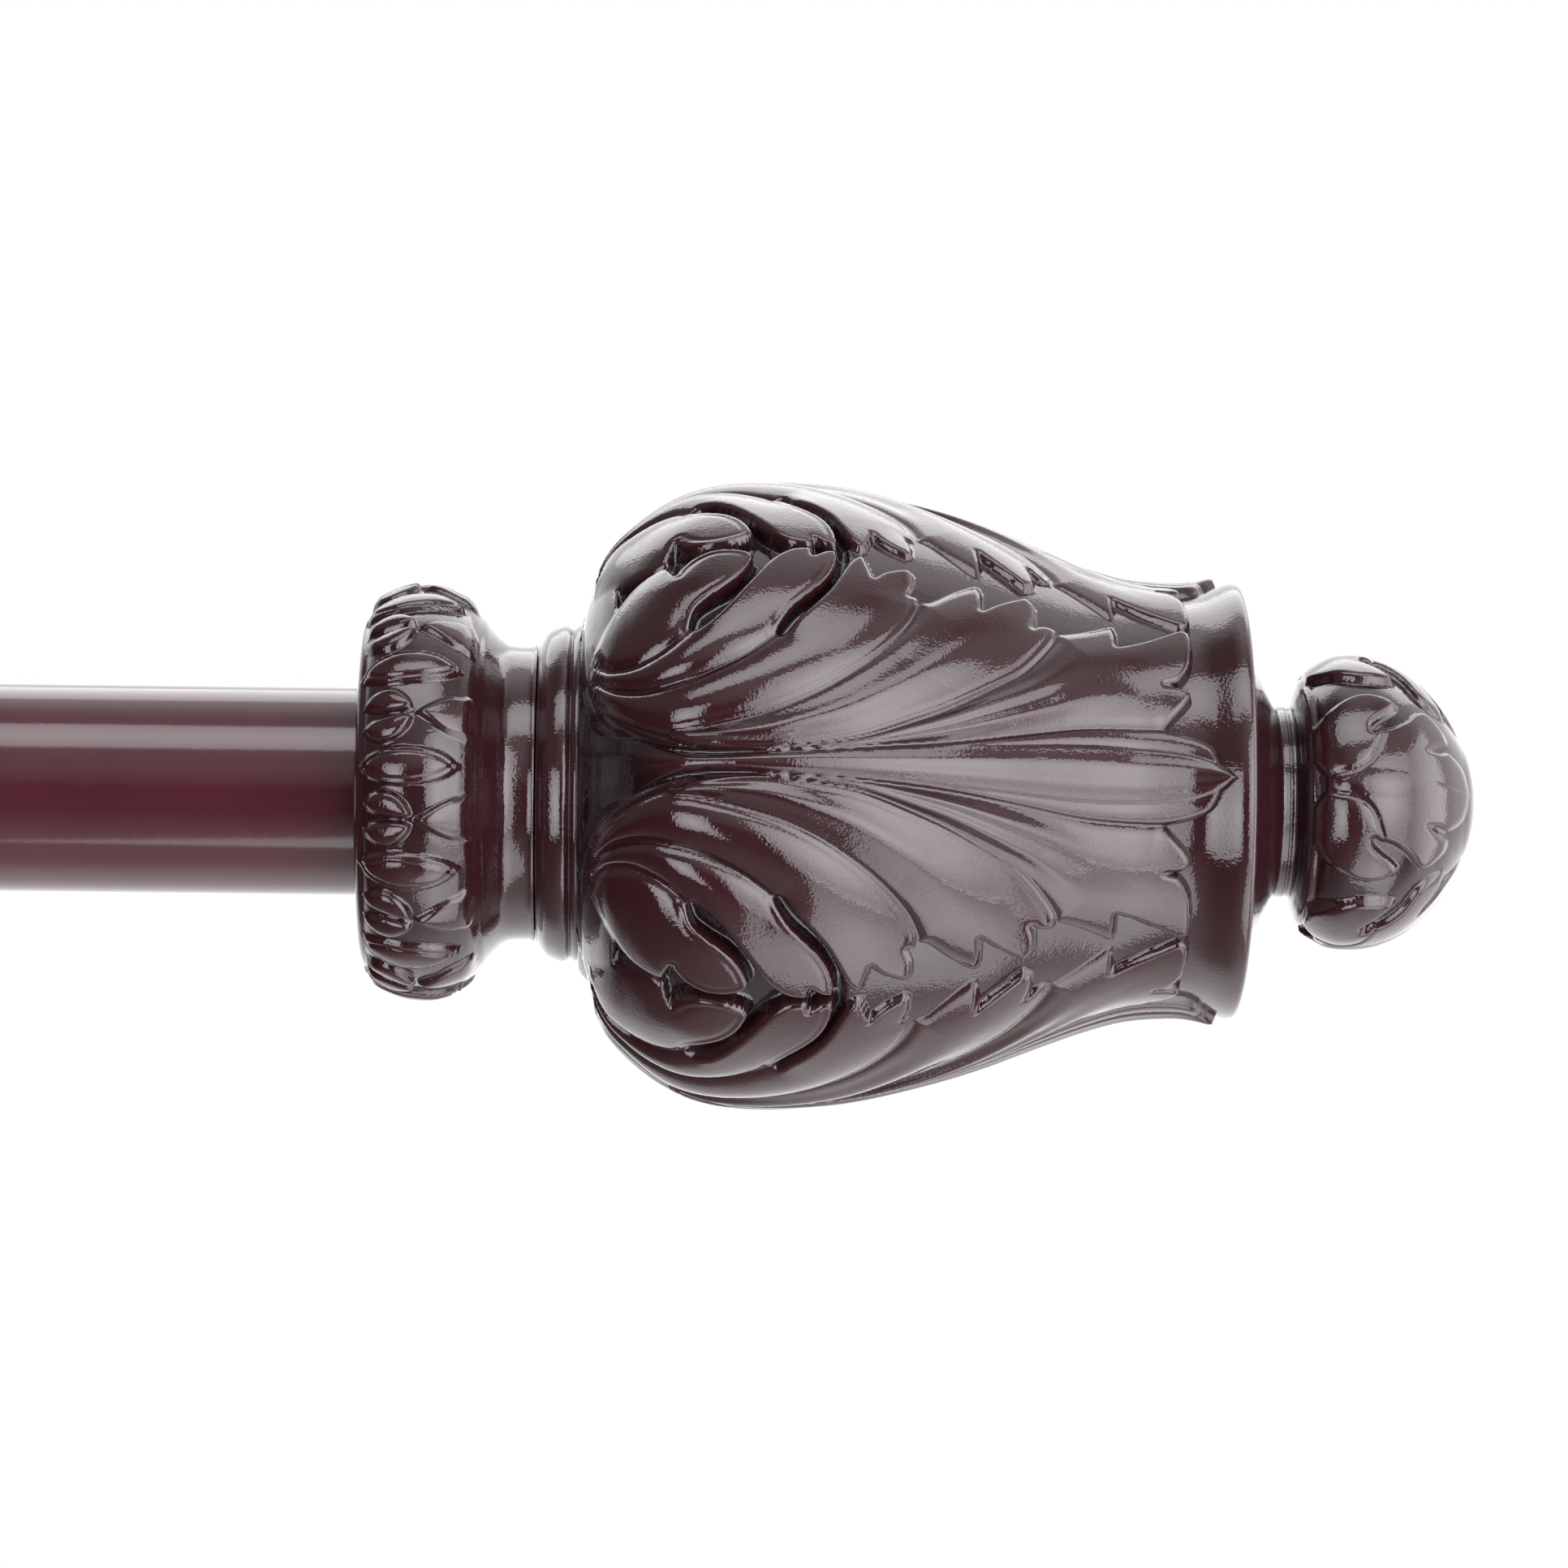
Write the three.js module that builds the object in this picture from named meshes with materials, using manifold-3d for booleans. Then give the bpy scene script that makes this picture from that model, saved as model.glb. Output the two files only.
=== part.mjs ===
// Telescopic curtain rod with two wall brackets and two urn finials.
//
// The frame, in millimetres: +X runs along the rod towards the finial on the outer tube, -Y points into the
// room and +Z is up. The wall is the plane y = 0, and the origin is the centre of the right-hand wall plate's
// back face. Each finial is drawn in a frame of its own, its axis along +X and 0 at the face of its collar,
// and each bracket in one whose origin is the centre of its wall plate's back face.

import * as THREE from "three";
import { mergeVertices } from "three/addons/utils/BufferGeometryUtils.js";
import Module from "manifold-3d";

// ---------------------------------------------------------------- driving dimensions

// Fits between pieces.
const gap = 0.3; // between faces that touch
const cradleClearance = 0.4; // between the rod and its cradle
const screwClearance = 0.3; // round a screw's shank
const runningClearance = 0.15; // the inner tube in its mouth bush
const bushClearance = 0.25; // a bush or plug in its tube

// Rod.
const rodDiameter = 25.4; // outer tube
const tubeWall = 0.8;
const telescopeRoom = 0.8; // all round, between the two tubes
const closedSpan = 711.2; // collar face to collar face with the rod pushed in
const innerTubeShown = 12; // inner tube seen between the mouth bush and the left collar
const mouthBushLength = 16;
const mouthBushFlange = 3;
const tailBushLength = 12;
const tailBushLip = 1.2; // step of the tail bush behind the inner tube's end
const tailGap = 6; // from the tail bush to the right end plug
const plugLength = 14;
const plugFlange = 1.5;

// Brackets.
const collarToBracket = 90; // collar face to the bracket's centre line
const projection = 90; // wall to rod axis with the arm pushed in
const plateWidth = 32;
const plateHeight = 80;
const plateThickness = 3;
const plateHoleSpacing = 56;
const barSize = 10;
const barStart = 6; // wall to the bar's hidden end
const socketWall = 2.4;
const socketLength = 55;
const lockScrewInset = 9; // from the arm socket's open end to its thumbscrew
const cradleWidth = 18;
const cradleThickness = 3;
const cradleBackHeight = 9; // above the rod axis
const cradleFrontHeight = 5;
const cradlePad = 1; // flat behind the cradle, proud of its curve
const bossRadius = 5.5;
const bossLength = 3;

// Screws.
const knobRadius = 6.5;
const knobHeight = 6;
const knobStandoff = 1.6; // between a thumbscrew's head and its boss, screwed home
const clampScrewRadius = 2.5;
const wallScrewRadius = 2.2;
const wallScrewHeadRadius = 4.6;
const wallScrewHeadHeight = 2.6;
const wallScrewReach = 32; // past the wall plane
const cradleScrewRadius = 2;
const cradleScrewLength = 14;
const cradleScrewHeadRadius = 3.6;
const cradleScrewHeadHeight = 2;

// Finial, along its axis from the collar's face.
const sleeveWall = 1.2;
const sleeveSlit = 5;
const tubeInsertion = 20;
const nutRoom = 1; // between the rod's end plug and the nut
const socketWeb = 6;
const spigotWall = 1.9;
const collarRadius = 25.5;
const collarFaceRadius = 19.5;
const collarCrestAt = 7.8;
const collarLength = 21.5;
const coveStep = 1.6; // cove above the spigot
const ringStep = 2.5; // neck ring above the cove
const ringLength = 5.8;
const footStep = 2.4; // urn's foot above the neck ring
const urnBellyRadius = 38.1;
const urnBellyAt = 51;
const urnWaistRadius = 26.4;
const urnWaistAt = 99;
const urnRimRadius = 26.5;
const urnRimAt = 106.9;
const rimLip = 3.9;
const rimRecess = 3.4;
const capEdge = 2.4; // thickness of the end cap at its edge
const capCrown = 5.1; // end cap's crown beyond the rim
const neckRadius = 11.7;
const neckLength = 1;
const budRadius = 18.15;
const budWidestAt = 7; // from the end of the neck
const budLength = 23;
const tieRodRadius = 3;
const tieRodGrip = 14; // in the bud
const nutFlats = 10;
const nutThickness = 5;
const washerRadius = 6.5;
const washerThickness = 1.2;
const grubRadius = 2;
const grubLength = 8.5;
const grubAt = 8;
const grubKeyFlats = 2;
const grubKeyDepth = 2.5;

// Facets of round shapes.
const roundSides = 30;
const knobSides = 20;
const screwSides = 12;
const outlineSteps = 8; // in each half of an outline's arc

// ---------------------------------------------------------------- derived sizes

const rodRadius = rodDiameter / 2;
const outerTubeBore = rodRadius - tubeWall;
const innerTubeRadius = outerTubeBore - telescopeRoom;
const innerTubeBore = innerTubeRadius - tubeWall;

const rightCollarX = collarToBracket;
const leftCollarX = rightCollarX - closedSpan;
const leftBracketX = leftCollarX + collarToBracket;
const mouthX = leftCollarX + innerTubeShown + mouthBushFlange;
const outerTubeEndX = rightCollarX + tubeInsertion;
const innerTubeEndX = leftCollarX - tubeInsertion;
const innerTubeTailX = outerTubeEndX - plugLength - tailGap - tailBushLip - gap;

const sleeveRadius = rodRadius + gap + sleeveWall;
const socketBore = sleeveRadius + gap;
const spigotRadius = socketBore + spigotWall;
const nutAt = tubeInsertion + gap + plugFlange + nutRoom;
const washerAt = nutAt + nutThickness + gap;
const webAt = washerAt + washerThickness + gap;
const spigotEnd = webAt + socketWeb;
const coveRadius = spigotRadius + coveStep;
const ringRadius = coveRadius + ringStep;
const ringAt = collarLength + gap;
const footAt = ringAt + ringLength + gap;
const footRadius = ringRadius + footStep;
const capRadius = urnRimRadius - rimLip - gap;
const capAt = urnRimAt - rimRecess + gap;
const capEnd = urnRimAt + capCrown;
const budAt = capEnd + gap;
const budRootAt = budAt + neckLength;

const socketHalf = barSize / 2 + gap + socketWall;
const cradleRadius = rodRadius + cradleClearance;
const cradleOuter = cradleRadius + cradleThickness;
const cradleBack = cradleOuter + cradlePad;
const barEnd = projection - cradleBack - gap;

// ---------------------------------------------------------------- materials

const painted = (color, roughness) => new THREE.MeshStandardMaterial({ color, roughness, metalness: 0 });
const finish = {
  tubePaint: () => painted(0x4a1620, 0.3),
  resin: () => painted(0x33151a, 0.2),
  bracketPaint: () => painted(0x3c171c, 0.3),
  nylon: () => painted(0x1c1a1a, 0.5),
  steel: () => new THREE.MeshStandardMaterial({ color: 0xb9b9b6, roughness: 0.35, metalness: 1 }),
};

function piece(name, geometry, material) {
  const mesh = new THREE.Mesh(geometry, material());
  mesh.name = name;
  return mesh;
}

// ---------------------------------------------------------------- shape helpers

const wasm = await Module();
wasm.setup();

const point = (x, y) => new THREE.Vector2(x, y);

// A closed geometry as a solid that can be cut and joined.
function toSolid(geometry) {
  const bare = geometry.clone();
  bare.deleteAttribute("normal");
  bare.deleteAttribute("uv");
  const merged = mergeVertices(bare, 1e-4);
  return new wasm.Manifold(
    new wasm.Mesh({
      numProp: 3,
      vertProperties: merged.attributes.position.array,
      triVerts: new Uint32Array(merged.index.array),
    }),
  );
}

function toGeometry(solid) {
  const mesh = solid.getMesh();
  const geometry = new THREE.BufferGeometry();
  geometry.setAttribute("position", new THREE.BufferAttribute(new Float32Array(mesh.vertProperties), 3));
  geometry.setIndex(new THREE.BufferAttribute(new Uint32Array(mesh.triVerts), 1));
  return geometry;
}

function cut(body, ...tools) {
  return toGeometry(tools.reduce((left, tool) => left.subtract(toSolid(tool)), toSolid(body)));
}

function join(body, ...others) {
  return toGeometry(others.reduce((all, other) => all.add(toSolid(other)), toSolid(body)));
}

// Turns (station, radius) points round the X axis. The profile runs up its outside from a point on the axis to
// another, or closes on itself.
function turned(profile, sides = roundSides) {
  const outline = profile.map((p) => point(p.y, p.x));
  return new THREE.LatheGeometry(outline, sides).rotateZ(-Math.PI / 2);
}

// A bar along X or, with a bore, a tube.
function tube(from, to, radius, bore = 0, sides = roundSides) {
  const outline = [point(from, bore), point(from, radius), point(to, radius), point(to, bore)];
  if (bore > 0) outline.push(point(from, bore));
  return turned(outline, sides);
}

const rod = (from, to, radius) => tube(from, to, radius, 0, screwSides);

// Turns what runs along +X so that it runs along -Y, or along -Z.
const alongRoom = (geometry) => geometry.rotateZ(-Math.PI / 2);
const downward = (geometry) => geometry.rotateY(Math.PI / 2);

// An outline in the YZ plane made as wide as given along X, centred on x = 0.
function acrossX(outline, width) {
  const settings = { depth: width, bevelEnabled: false, curveSegments: outlineSteps };
  const solid = new THREE.ExtrudeGeometry(outline, settings);
  const yzPlane = new THREE.Matrix4().makeBasis(
    new THREE.Vector3(0, 1, 0),
    new THREE.Vector3(0, 0, 1),
    new THREE.Vector3(1, 0, 0),
  );
  return solid.applyMatrix4(yzPlane).translate(-width / 2, 0, 0);
}

function hexagon(flats) {
  const corner = flats / Math.sqrt(3);
  return new THREE.Shape(
    [0, 1, 2, 3, 4, 5].map((i) => point(corner, 0).rotateAround(point(0, 0), (i * Math.PI) / 3)),
  );
}

const box = (x0, x1, y0, y1, z0, z1) =>
  new THREE.BoxGeometry(x1 - x0, y1 - y0, z1 - z0).translate((x0 + x1) / 2, (y0 + y1) / 2, (z0 + z1) / 2);

// The points of a Bezier curve after its first, so that curves can follow one another.
function curve(steps, ...controls) {
  return new THREE.CubicBezierCurve(...controls.map(([x, y]) => point(x, y))).getPoints(steps).slice(1);
}

// ---------------------------------------------------------------- rod

function buildRod() {
  const bushRadius = outerTubeBore - bushClearance;
  const bushHole = innerTubeRadius + runningClearance;
  const mouthBush = [
    point(mouthX - mouthBushFlange, bushHole),
    point(mouthX - mouthBushFlange, rodRadius),
    point(mouthX - gap, rodRadius),
    point(mouthX - gap, bushRadius),
    point(mouthX + mouthBushLength, bushRadius),
    point(mouthX + mouthBushLength, bushHole),
    point(mouthX - mouthBushFlange, bushHole),
  ];
  const tailSpigot = innerTubeBore - bushClearance;
  const tailBush = [
    point(innerTubeTailX - tailBushLength, 0),
    point(innerTubeTailX - tailBushLength, tailSpigot),
    point(innerTubeTailX + gap, tailSpigot),
    point(innerTubeTailX + gap, bushRadius),
    point(innerTubeTailX + gap + tailBushLip, bushRadius),
    point(innerTubeTailX + gap + tailBushLip, 0),
  ];
  const leftPlug = endPlug(innerTubeRadius, innerTubeBore).rotateZ(Math.PI).translate(innerTubeEndX, 0, 0);
  const group = new THREE.Group();
  group.add(
    piece("outer_tube", tube(mouthX, outerTubeEndX, rodRadius, outerTubeBore), finish.tubePaint),
    piece("inner_tube", tube(innerTubeEndX, innerTubeTailX, innerTubeRadius, innerTubeBore), finish.tubePaint),
    piece("mouth_bush", turned(mouthBush), finish.nylon),
    piece("tail_bush", turned(tailBush), finish.nylon),
    piece("right_end_plug", endPlug(rodRadius, outerTubeBore).translate(outerTubeEndX, 0, 0), finish.nylon),
    piece("left_end_plug", leftPlug, finish.nylon),
  );
  group.position.y = -projection;
  return group;
}

// A plug that stiffens a tube's end under the finial's set screw, with the tube's end at x = 0.
function endPlug(tubeRadius, bore) {
  return turned([
    point(-plugLength, 0),
    point(-plugLength, bore - bushClearance),
    point(gap, bore - bushClearance),
    point(gap, tubeRadius),
    point(gap + plugFlange, tubeRadius),
    point(gap + plugFlange, 0),
  ]);
}

// ---------------------------------------------------------------- brackets

// A plate with round ends, standing against the wall, with a hole near each end.
function wallPlate() {
  const radius = plateWidth / 2;
  const straight = plateHeight / 2 - radius;
  const outline = new THREE.Shape();
  outline.absarc(0, straight, radius, 0, Math.PI);
  outline.absarc(0, -straight, radius, Math.PI, 2 * Math.PI);
  for (const end of [-1, 1]) {
    const hole = new THREE.Path();
    hole.absarc(0, (end * plateHoleSpacing) / 2, wallScrewRadius + screwClearance, 0, 2 * Math.PI);
    outline.holes.push(hole);
  }
  const settings = { depth: plateThickness, bevelEnabled: false, curveSegments: outlineSteps };
  return new THREE.ExtrudeGeometry(outline, settings).rotateX(Math.PI / 2);
}

// A square tube along -Y from the plate, with a threaded boss underneath.
function armSocket() {
  const start = plateThickness + gap;
  const end = start + socketLength;
  const bore = barSize / 2 + gap;
  const boss = rod(0, socketHalf + bossLength, bossRadius);
  const screwHole = rod(0, socketHalf + 2 * bossLength, clampScrewRadius + screwClearance);
  const lockAt = -(end - lockScrewInset);
  return cut(
    join(
      box(-socketHalf, socketHalf, -end, -start, -socketHalf, socketHalf),
      downward(boss).translate(0, lockAt, 0),
    ),
    box(-bore, bore, -end - bossLength, -start + bossLength, -bore, bore),
    downward(screwHole).translate(0, lockAt, 0),
  );
}

function armBar() {
  const half = barSize / 2;
  const threadFrom = barEnd - cradleScrewLength;
  const thread = rod(threadFrom, barEnd + cradlePad, cradleScrewRadius + screwClearance);
  return cut(box(-half, half, -barEnd, -barStart, -half, half), alongRoom(thread));
}

// A U-shaped cradle round the rod, higher behind than in front, with a flat behind for the arm bar and a
// threaded boss below.
function cradle() {
  const outline = new THREE.Shape();
  outline.moveTo(-cradleOuter, cradleFrontHeight);
  outline.lineTo(-cradleOuter, 0);
  outline.absarc(0, 0, cradleOuter, Math.PI, 2 * Math.PI);
  outline.lineTo(cradleOuter, cradleBackHeight);
  outline.lineTo(cradleRadius, cradleBackHeight);
  outline.lineTo(cradleRadius, 0);
  outline.absarc(0, 0, cradleRadius, 2 * Math.PI, Math.PI, true);
  outline.lineTo(-cradleRadius, cradleFrontHeight);
  const half = barSize / 2;
  const pad = box(-half, half, cradleRadius + cradleThickness / 2, cradleBack, -half, half);
  const boss = rod(cradleRadius + cradleThickness / 2, cradleOuter + bossLength, bossRadius);
  const rodScrewHole = rod(0, cradleOuter + 2 * bossLength, clampScrewRadius + screwClearance);
  const headSeat = cradleRadius + gap + cradleScrewHeadHeight + gap;
  const headHole = rod(0, headSeat, cradleScrewHeadRadius + screwClearance);
  const shankHole = rod(0, cradleBack + gap, cradleScrewRadius + screwClearance);
  return cut(
    join(acrossX(outline, cradleWidth), pad, downward(boss)),
    downward(rodScrewHole),
    headHole.rotateZ(Math.PI / 2),
    shankHole.rotateZ(Math.PI / 2),
  ).translate(0, -projection, 0);
}

// The screw that holds the cradle on the bar: its head is inside the cradle and its shank runs towards the wall.
function cradleScrew() {
  const headAt = cradleRadius + gap;
  const seat = headAt + cradleScrewHeadHeight;
  const screw = turned(
    [
      point(headAt, 0),
      point(headAt, cradleScrewHeadRadius),
      point(seat, cradleScrewHeadRadius),
      point(seat, cradleScrewRadius),
      point(headAt + cradleScrewLength, cradleScrewRadius),
      point(headAt + cradleScrewLength, 0),
    ],
    screwSides,
  );
  return screw.rotateZ(Math.PI / 2).translate(0, -projection, 0);
}

// A thumbscrew pointing up, with its tip at the height given and its head below the boss's end.
function thumbscrew(tip, bossEnd) {
  const headTop = bossEnd - knobStandoff;
  const headBottom = headTop - knobHeight;
  const neck = knobRadius - 2;
  const screw = turned(
    [
      point(-tip, 0),
      point(-tip, clampScrewRadius),
      point(-headTop, clampScrewRadius),
      point(-headTop, neck),
      point(-headTop + 1, knobRadius),
      point(-headBottom, knobRadius),
      point(-headBottom, 0),
    ],
    knobSides,
  );
  return downward(screw);
}

// A pan-head wall screw along Y with its head in the room.
function wallScrew() {
  const headAt = -plateThickness - gap;
  const screw = turned(
    [
      point(-wallScrewReach, 0),
      point(-wallScrewReach + 2 * wallScrewRadius, wallScrewRadius),
      point(-headAt, wallScrewRadius),
      point(-headAt, wallScrewHeadRadius),
      point(-headAt + wallScrewHeadHeight / 2, wallScrewHeadRadius),
      point(-headAt + wallScrewHeadHeight, wallScrewHeadRadius / 2),
      point(-headAt + wallScrewHeadHeight, 0),
    ],
    screwSides,
  );
  return alongRoom(screw);
}

function buildBracket(side, x) {
  const lockAt = -(plateThickness + gap + socketLength - lockScrewInset);
  const armLock = thumbscrew(-barSize / 2 - gap, -socketHalf - bossLength).translate(0, lockAt, 0);
  const rodLock = thumbscrew(-rodRadius - gap, -cradleOuter - bossLength).translate(0, -projection, 0);
  const group = new THREE.Group();
  group.add(
    piece(`${side}_wall_plate`, wallPlate(), finish.bracketPaint),
    piece(`${side}_arm_socket`, armSocket(), finish.bracketPaint),
    piece(`${side}_arm_bar`, armBar(), finish.bracketPaint),
    piece(`${side}_cradle`, cradle(), finish.bracketPaint),
    piece(`${side}_cradle_screw`, cradleScrew(), finish.steel),
    piece(`${side}_arm_thumbscrew`, armLock, finish.bracketPaint),
    piece(`${side}_rod_thumbscrew`, rodLock, finish.bracketPaint),
  );
  for (const [place, end] of [["upper", 1], ["lower", -1]]) {
    const screw = wallScrew().translate(0, 0, (end * plateHoleSpacing) / 2);
    group.add(piece(`${side}_${place}_wall_screw`, screw, finish.bracketPaint));
  }
  group.position.x = x;
  return group;
}

// ---------------------------------------------------------------- finials

// A split ring that fills the space between the tube's end and the finial's socket.
function sleeve(tubeRadius) {
  const ring = tube(gap, tubeInsertion, sleeveRadius, tubeRadius + gap);
  const slit = box(0, tubeInsertion + gap, -sleeveSlit / 2, sleeveSlit / 2, 0, 2 * sleeveRadius);
  return cut(ring, slit);
}

// The cup that carries the finial's turned pieces, with a web at its end for the tie rod.
function socket() {
  const cup = turned([
    point(0, socketBore),
    point(0, spigotRadius),
    point(spigotEnd, spigotRadius),
    point(spigotEnd, tieRodRadius + screwClearance),
    point(webAt, tieRodRadius + screwClearance),
    point(webAt, socketBore),
    point(0, socketBore),
  ]);
  return cut(cup, grubHole());
}

const grubHole = () =>
  downward(rod(sleeveRadius, collarRadius + gap, grubRadius + screwClearance)).translate(grubAt, 0, 0);

// The carved collar: a flat face against the rod, a bulge, and a cove down to the neck ring.
function collar() {
  const bore = spigotRadius + gap;
  const bulgeEnd = collarCrestAt + 5.8;
  const ring = turned([
    point(0, bore),
    point(0, collarFaceRadius),
    ...curve(4, [0, collarFaceRadius], [0.6, 23.6], [3.6, collarRadius], [collarCrestAt, collarRadius]),
    ...curve(
      3,
      [collarCrestAt, collarRadius],
      [collarCrestAt + 3, collarRadius],
      [bulgeEnd - 1.6, collarRadius - 1],
      [bulgeEnd, collarRadius - 2.4],
    ),
    ...curve(
      4,
      [bulgeEnd, collarRadius - 2.4],
      [bulgeEnd + 1.2, coveRadius + 2],
      [bulgeEnd + 3, coveRadius],
      [collarLength - 1.5, coveRadius],
    ),
    point(collarLength, coveRadius + 1),
    point(collarLength, bore),
    point(0, bore),
  ]);
  return cut(ring, grubHole());
}

function neckRing() {
  const bore = spigotRadius + gap;
  const end = ringAt + ringLength;
  return turned([
    point(ringAt, bore),
    point(ringAt, ringRadius - 1.3),
    point(ringAt + 0.7, ringRadius - 0.4),
    point(ringAt + 1.8, ringRadius),
    point(end - 1.8, ringRadius),
    point(end - 0.5, ringRadius - 0.5),
    point(end, ringRadius - 1.2),
    point(end, bore),
    point(ringAt, bore),
  ]);
}

// The urn swells from its foot to the belly, narrows to a waist and ends in a rim with a recess for the cap.
function urn() {
  const bore = tieRodRadius + screwClearance;
  const recess = urnRimAt - rimRecess;
  return turned([
    point(footAt, spigotRadius + gap),
    point(footAt, footRadius),
    ...curve(
      6,
      [footAt, footRadius],
      [footAt + 0.6, 32.6],
      [urnBellyAt - 11, urnBellyRadius],
      [urnBellyAt, urnBellyRadius],
    ),
    ...curve(
      8,
      [urnBellyAt, urnBellyRadius],
      [urnBellyAt + 19, urnBellyRadius],
      [urnWaistAt - 13.5, urnWaistRadius],
      [urnWaistAt, urnWaistRadius],
    ),
    point(urnRimAt - 1, urnRimRadius),
    point(urnRimAt, urnRimRadius - 1),
    point(urnRimAt, urnRimRadius - rimLip),
    point(recess, urnRimRadius - rimLip),
    point(recess, bore),
    point(spigotEnd + gap, bore),
    point(spigotEnd + gap, spigotRadius + gap),
    point(footAt, spigotRadius + gap),
  ]);
}

// The cap closes the urn's end and carries the bud.
function endCap() {
  const bore = tieRodRadius + screwClearance;
  const edge = capAt + capEdge;
  return turned([
    point(capAt, bore),
    point(capAt, capRadius),
    point(edge, capRadius),
    ...curve(
      3,
      [edge, capRadius],
      [edge + 1.6, capRadius - 1.5],
      [capEnd - 3, neckRadius + 4],
      [capEnd - 1.6, neckRadius + 1],
    ),
    point(capEnd, neckRadius),
    point(capEnd, bore),
    point(capAt, bore),
  ]);
}

function bud() {
  const bore = tieRodRadius + screwClearance;
  const widest = budRootAt + budWidestAt;
  const tip = budRootAt + budLength;
  const holeEnd = budRootAt + tieRodGrip + gap;
  const body = turned([
    point(budAt, 0),
    point(budAt, neckRadius),
    point(budRootAt, neckRadius),
    ...curve(4, [budRootAt, neckRadius], [budRootAt + 0.6, 15.6], [widest - 3, budRadius], [widest, budRadius]),
    ...curve(5, [widest, budRadius], [widest + 8.6, budRadius], [tip, 9.6], [tip, 0]),
  ]);
  return cut(body, rod(budAt - gap, holeEnd, bore));
}

function tieNut() {
  const outline = hexagon(nutFlats);
  const hole = new THREE.Path();
  hole.absarc(0, 0, tieRodRadius + screwClearance, 0, 2 * Math.PI);
  outline.holes.push(hole);
  return acrossX(outline, nutThickness).translate(nutAt + nutThickness / 2, 0, 0);
}

// A set screw with a hexagonal key hole in its outer end, below the axis.
function grubScrew() {
  const from = sleeveRadius + gap;
  const to = from + grubLength;
  const key = acrossX(hexagon(grubKeyFlats), 2 * grubKeyDepth).translate(to, 0, 0);
  return downward(cut(rod(from, to, grubRadius), key)).translate(grubAt, 0, 0);
}

function buildFinial(side, tubeRadius) {
  const washer = tube(washerAt, washerAt + washerThickness, washerRadius, tieRodRadius + screwClearance, knobSides);
  const group = new THREE.Group();
  group.add(
    piece(`${side}_sleeve`, sleeve(tubeRadius), finish.nylon),
    piece(`${side}_socket`, socket(), finish.resin),
    piece(`${side}_collar`, collar(), finish.resin),
    piece(`${side}_neck_ring`, neckRing(), finish.resin),
    piece(`${side}_urn`, urn(), finish.resin),
    piece(`${side}_end_cap`, endCap(), finish.resin),
    piece(`${side}_bud`, bud(), finish.resin),
    piece(`${side}_tie_rod`, rod(nutAt, budRootAt + tieRodGrip, tieRodRadius), finish.steel),
    piece(`${side}_tie_nut`, tieNut(), finish.steel),
    piece(`${side}_tie_washer`, washer, finish.steel),
    piece(`${side}_set_screw`, grubScrew(), finish.steel),
  );
  return group;
}

// ---------------------------------------------------------------- assembly

const rightFinial = buildFinial("right", rodRadius);
rightFinial.position.set(rightCollarX, -projection, 0);
const leftFinial = buildFinial("left", innerTubeRadius);
leftFinial.position.set(leftCollarX, -projection, 0);
leftFinial.rotation.z = Math.PI;

const curtainRod = new THREE.Group();
curtainRod.add(
  buildRod(),
  buildBracket("right", 0),
  buildBracket("left", leftBracketX),
  rightFinial,
  leftFinial,
);

export default curtainRod;
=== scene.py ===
"""Looks for a telescopic curtain rod with carved urn finials and sliding wall brackets.

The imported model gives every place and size. This file makes the fine surfaces and the finishes round it,
as an add-on whose operators each make one group of like pieces, and whose panel lists them.
"""

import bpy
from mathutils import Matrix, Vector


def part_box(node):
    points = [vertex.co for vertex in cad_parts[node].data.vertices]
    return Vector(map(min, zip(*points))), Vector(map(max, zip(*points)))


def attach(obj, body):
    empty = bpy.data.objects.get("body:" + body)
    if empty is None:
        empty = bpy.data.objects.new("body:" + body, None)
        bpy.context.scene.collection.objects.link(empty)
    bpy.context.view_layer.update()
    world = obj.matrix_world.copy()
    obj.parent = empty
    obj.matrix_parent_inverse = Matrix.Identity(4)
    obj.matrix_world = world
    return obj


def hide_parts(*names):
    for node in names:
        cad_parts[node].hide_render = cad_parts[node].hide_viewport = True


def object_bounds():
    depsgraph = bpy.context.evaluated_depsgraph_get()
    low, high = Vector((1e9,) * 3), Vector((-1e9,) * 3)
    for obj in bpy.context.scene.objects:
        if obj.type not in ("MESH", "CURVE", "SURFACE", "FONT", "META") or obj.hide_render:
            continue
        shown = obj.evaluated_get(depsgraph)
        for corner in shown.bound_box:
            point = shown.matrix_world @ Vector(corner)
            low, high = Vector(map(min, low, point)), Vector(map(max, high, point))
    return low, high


bl_info = {
    "name": "Carved curtain rod",
    "version": (1, 0, 0),
    "blender": (4, 5, 0),
    "location": "3D View > Sidebar > Curtain rod",
    "description": "Makes the tubes, carved finials, brackets and stage of a curtain rod",
    "category": "Object",
}

import math

import bmesh
import bpy
import numpy as np
from bpy.props import FloatProperty, FloatVectorProperty, IntProperty, PointerProperty
from mathutils import Matrix, Vector

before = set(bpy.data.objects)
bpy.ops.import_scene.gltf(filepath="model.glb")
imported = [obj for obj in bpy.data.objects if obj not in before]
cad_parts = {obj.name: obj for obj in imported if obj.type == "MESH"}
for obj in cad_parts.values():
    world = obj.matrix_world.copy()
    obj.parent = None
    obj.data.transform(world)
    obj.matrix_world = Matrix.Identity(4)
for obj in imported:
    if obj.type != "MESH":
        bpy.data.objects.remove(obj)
CAD_BOX = [list(corner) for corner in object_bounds()]

MM = 0.001
SIDES = ("right", "left")


# ---------------------------------------------------------------- places taken from the frame


def node_box(node):
    """Lowest and highest corners of a node, in millimetres."""
    low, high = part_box(node)
    return Vector(low) / MM, Vector(high) / MM


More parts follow.
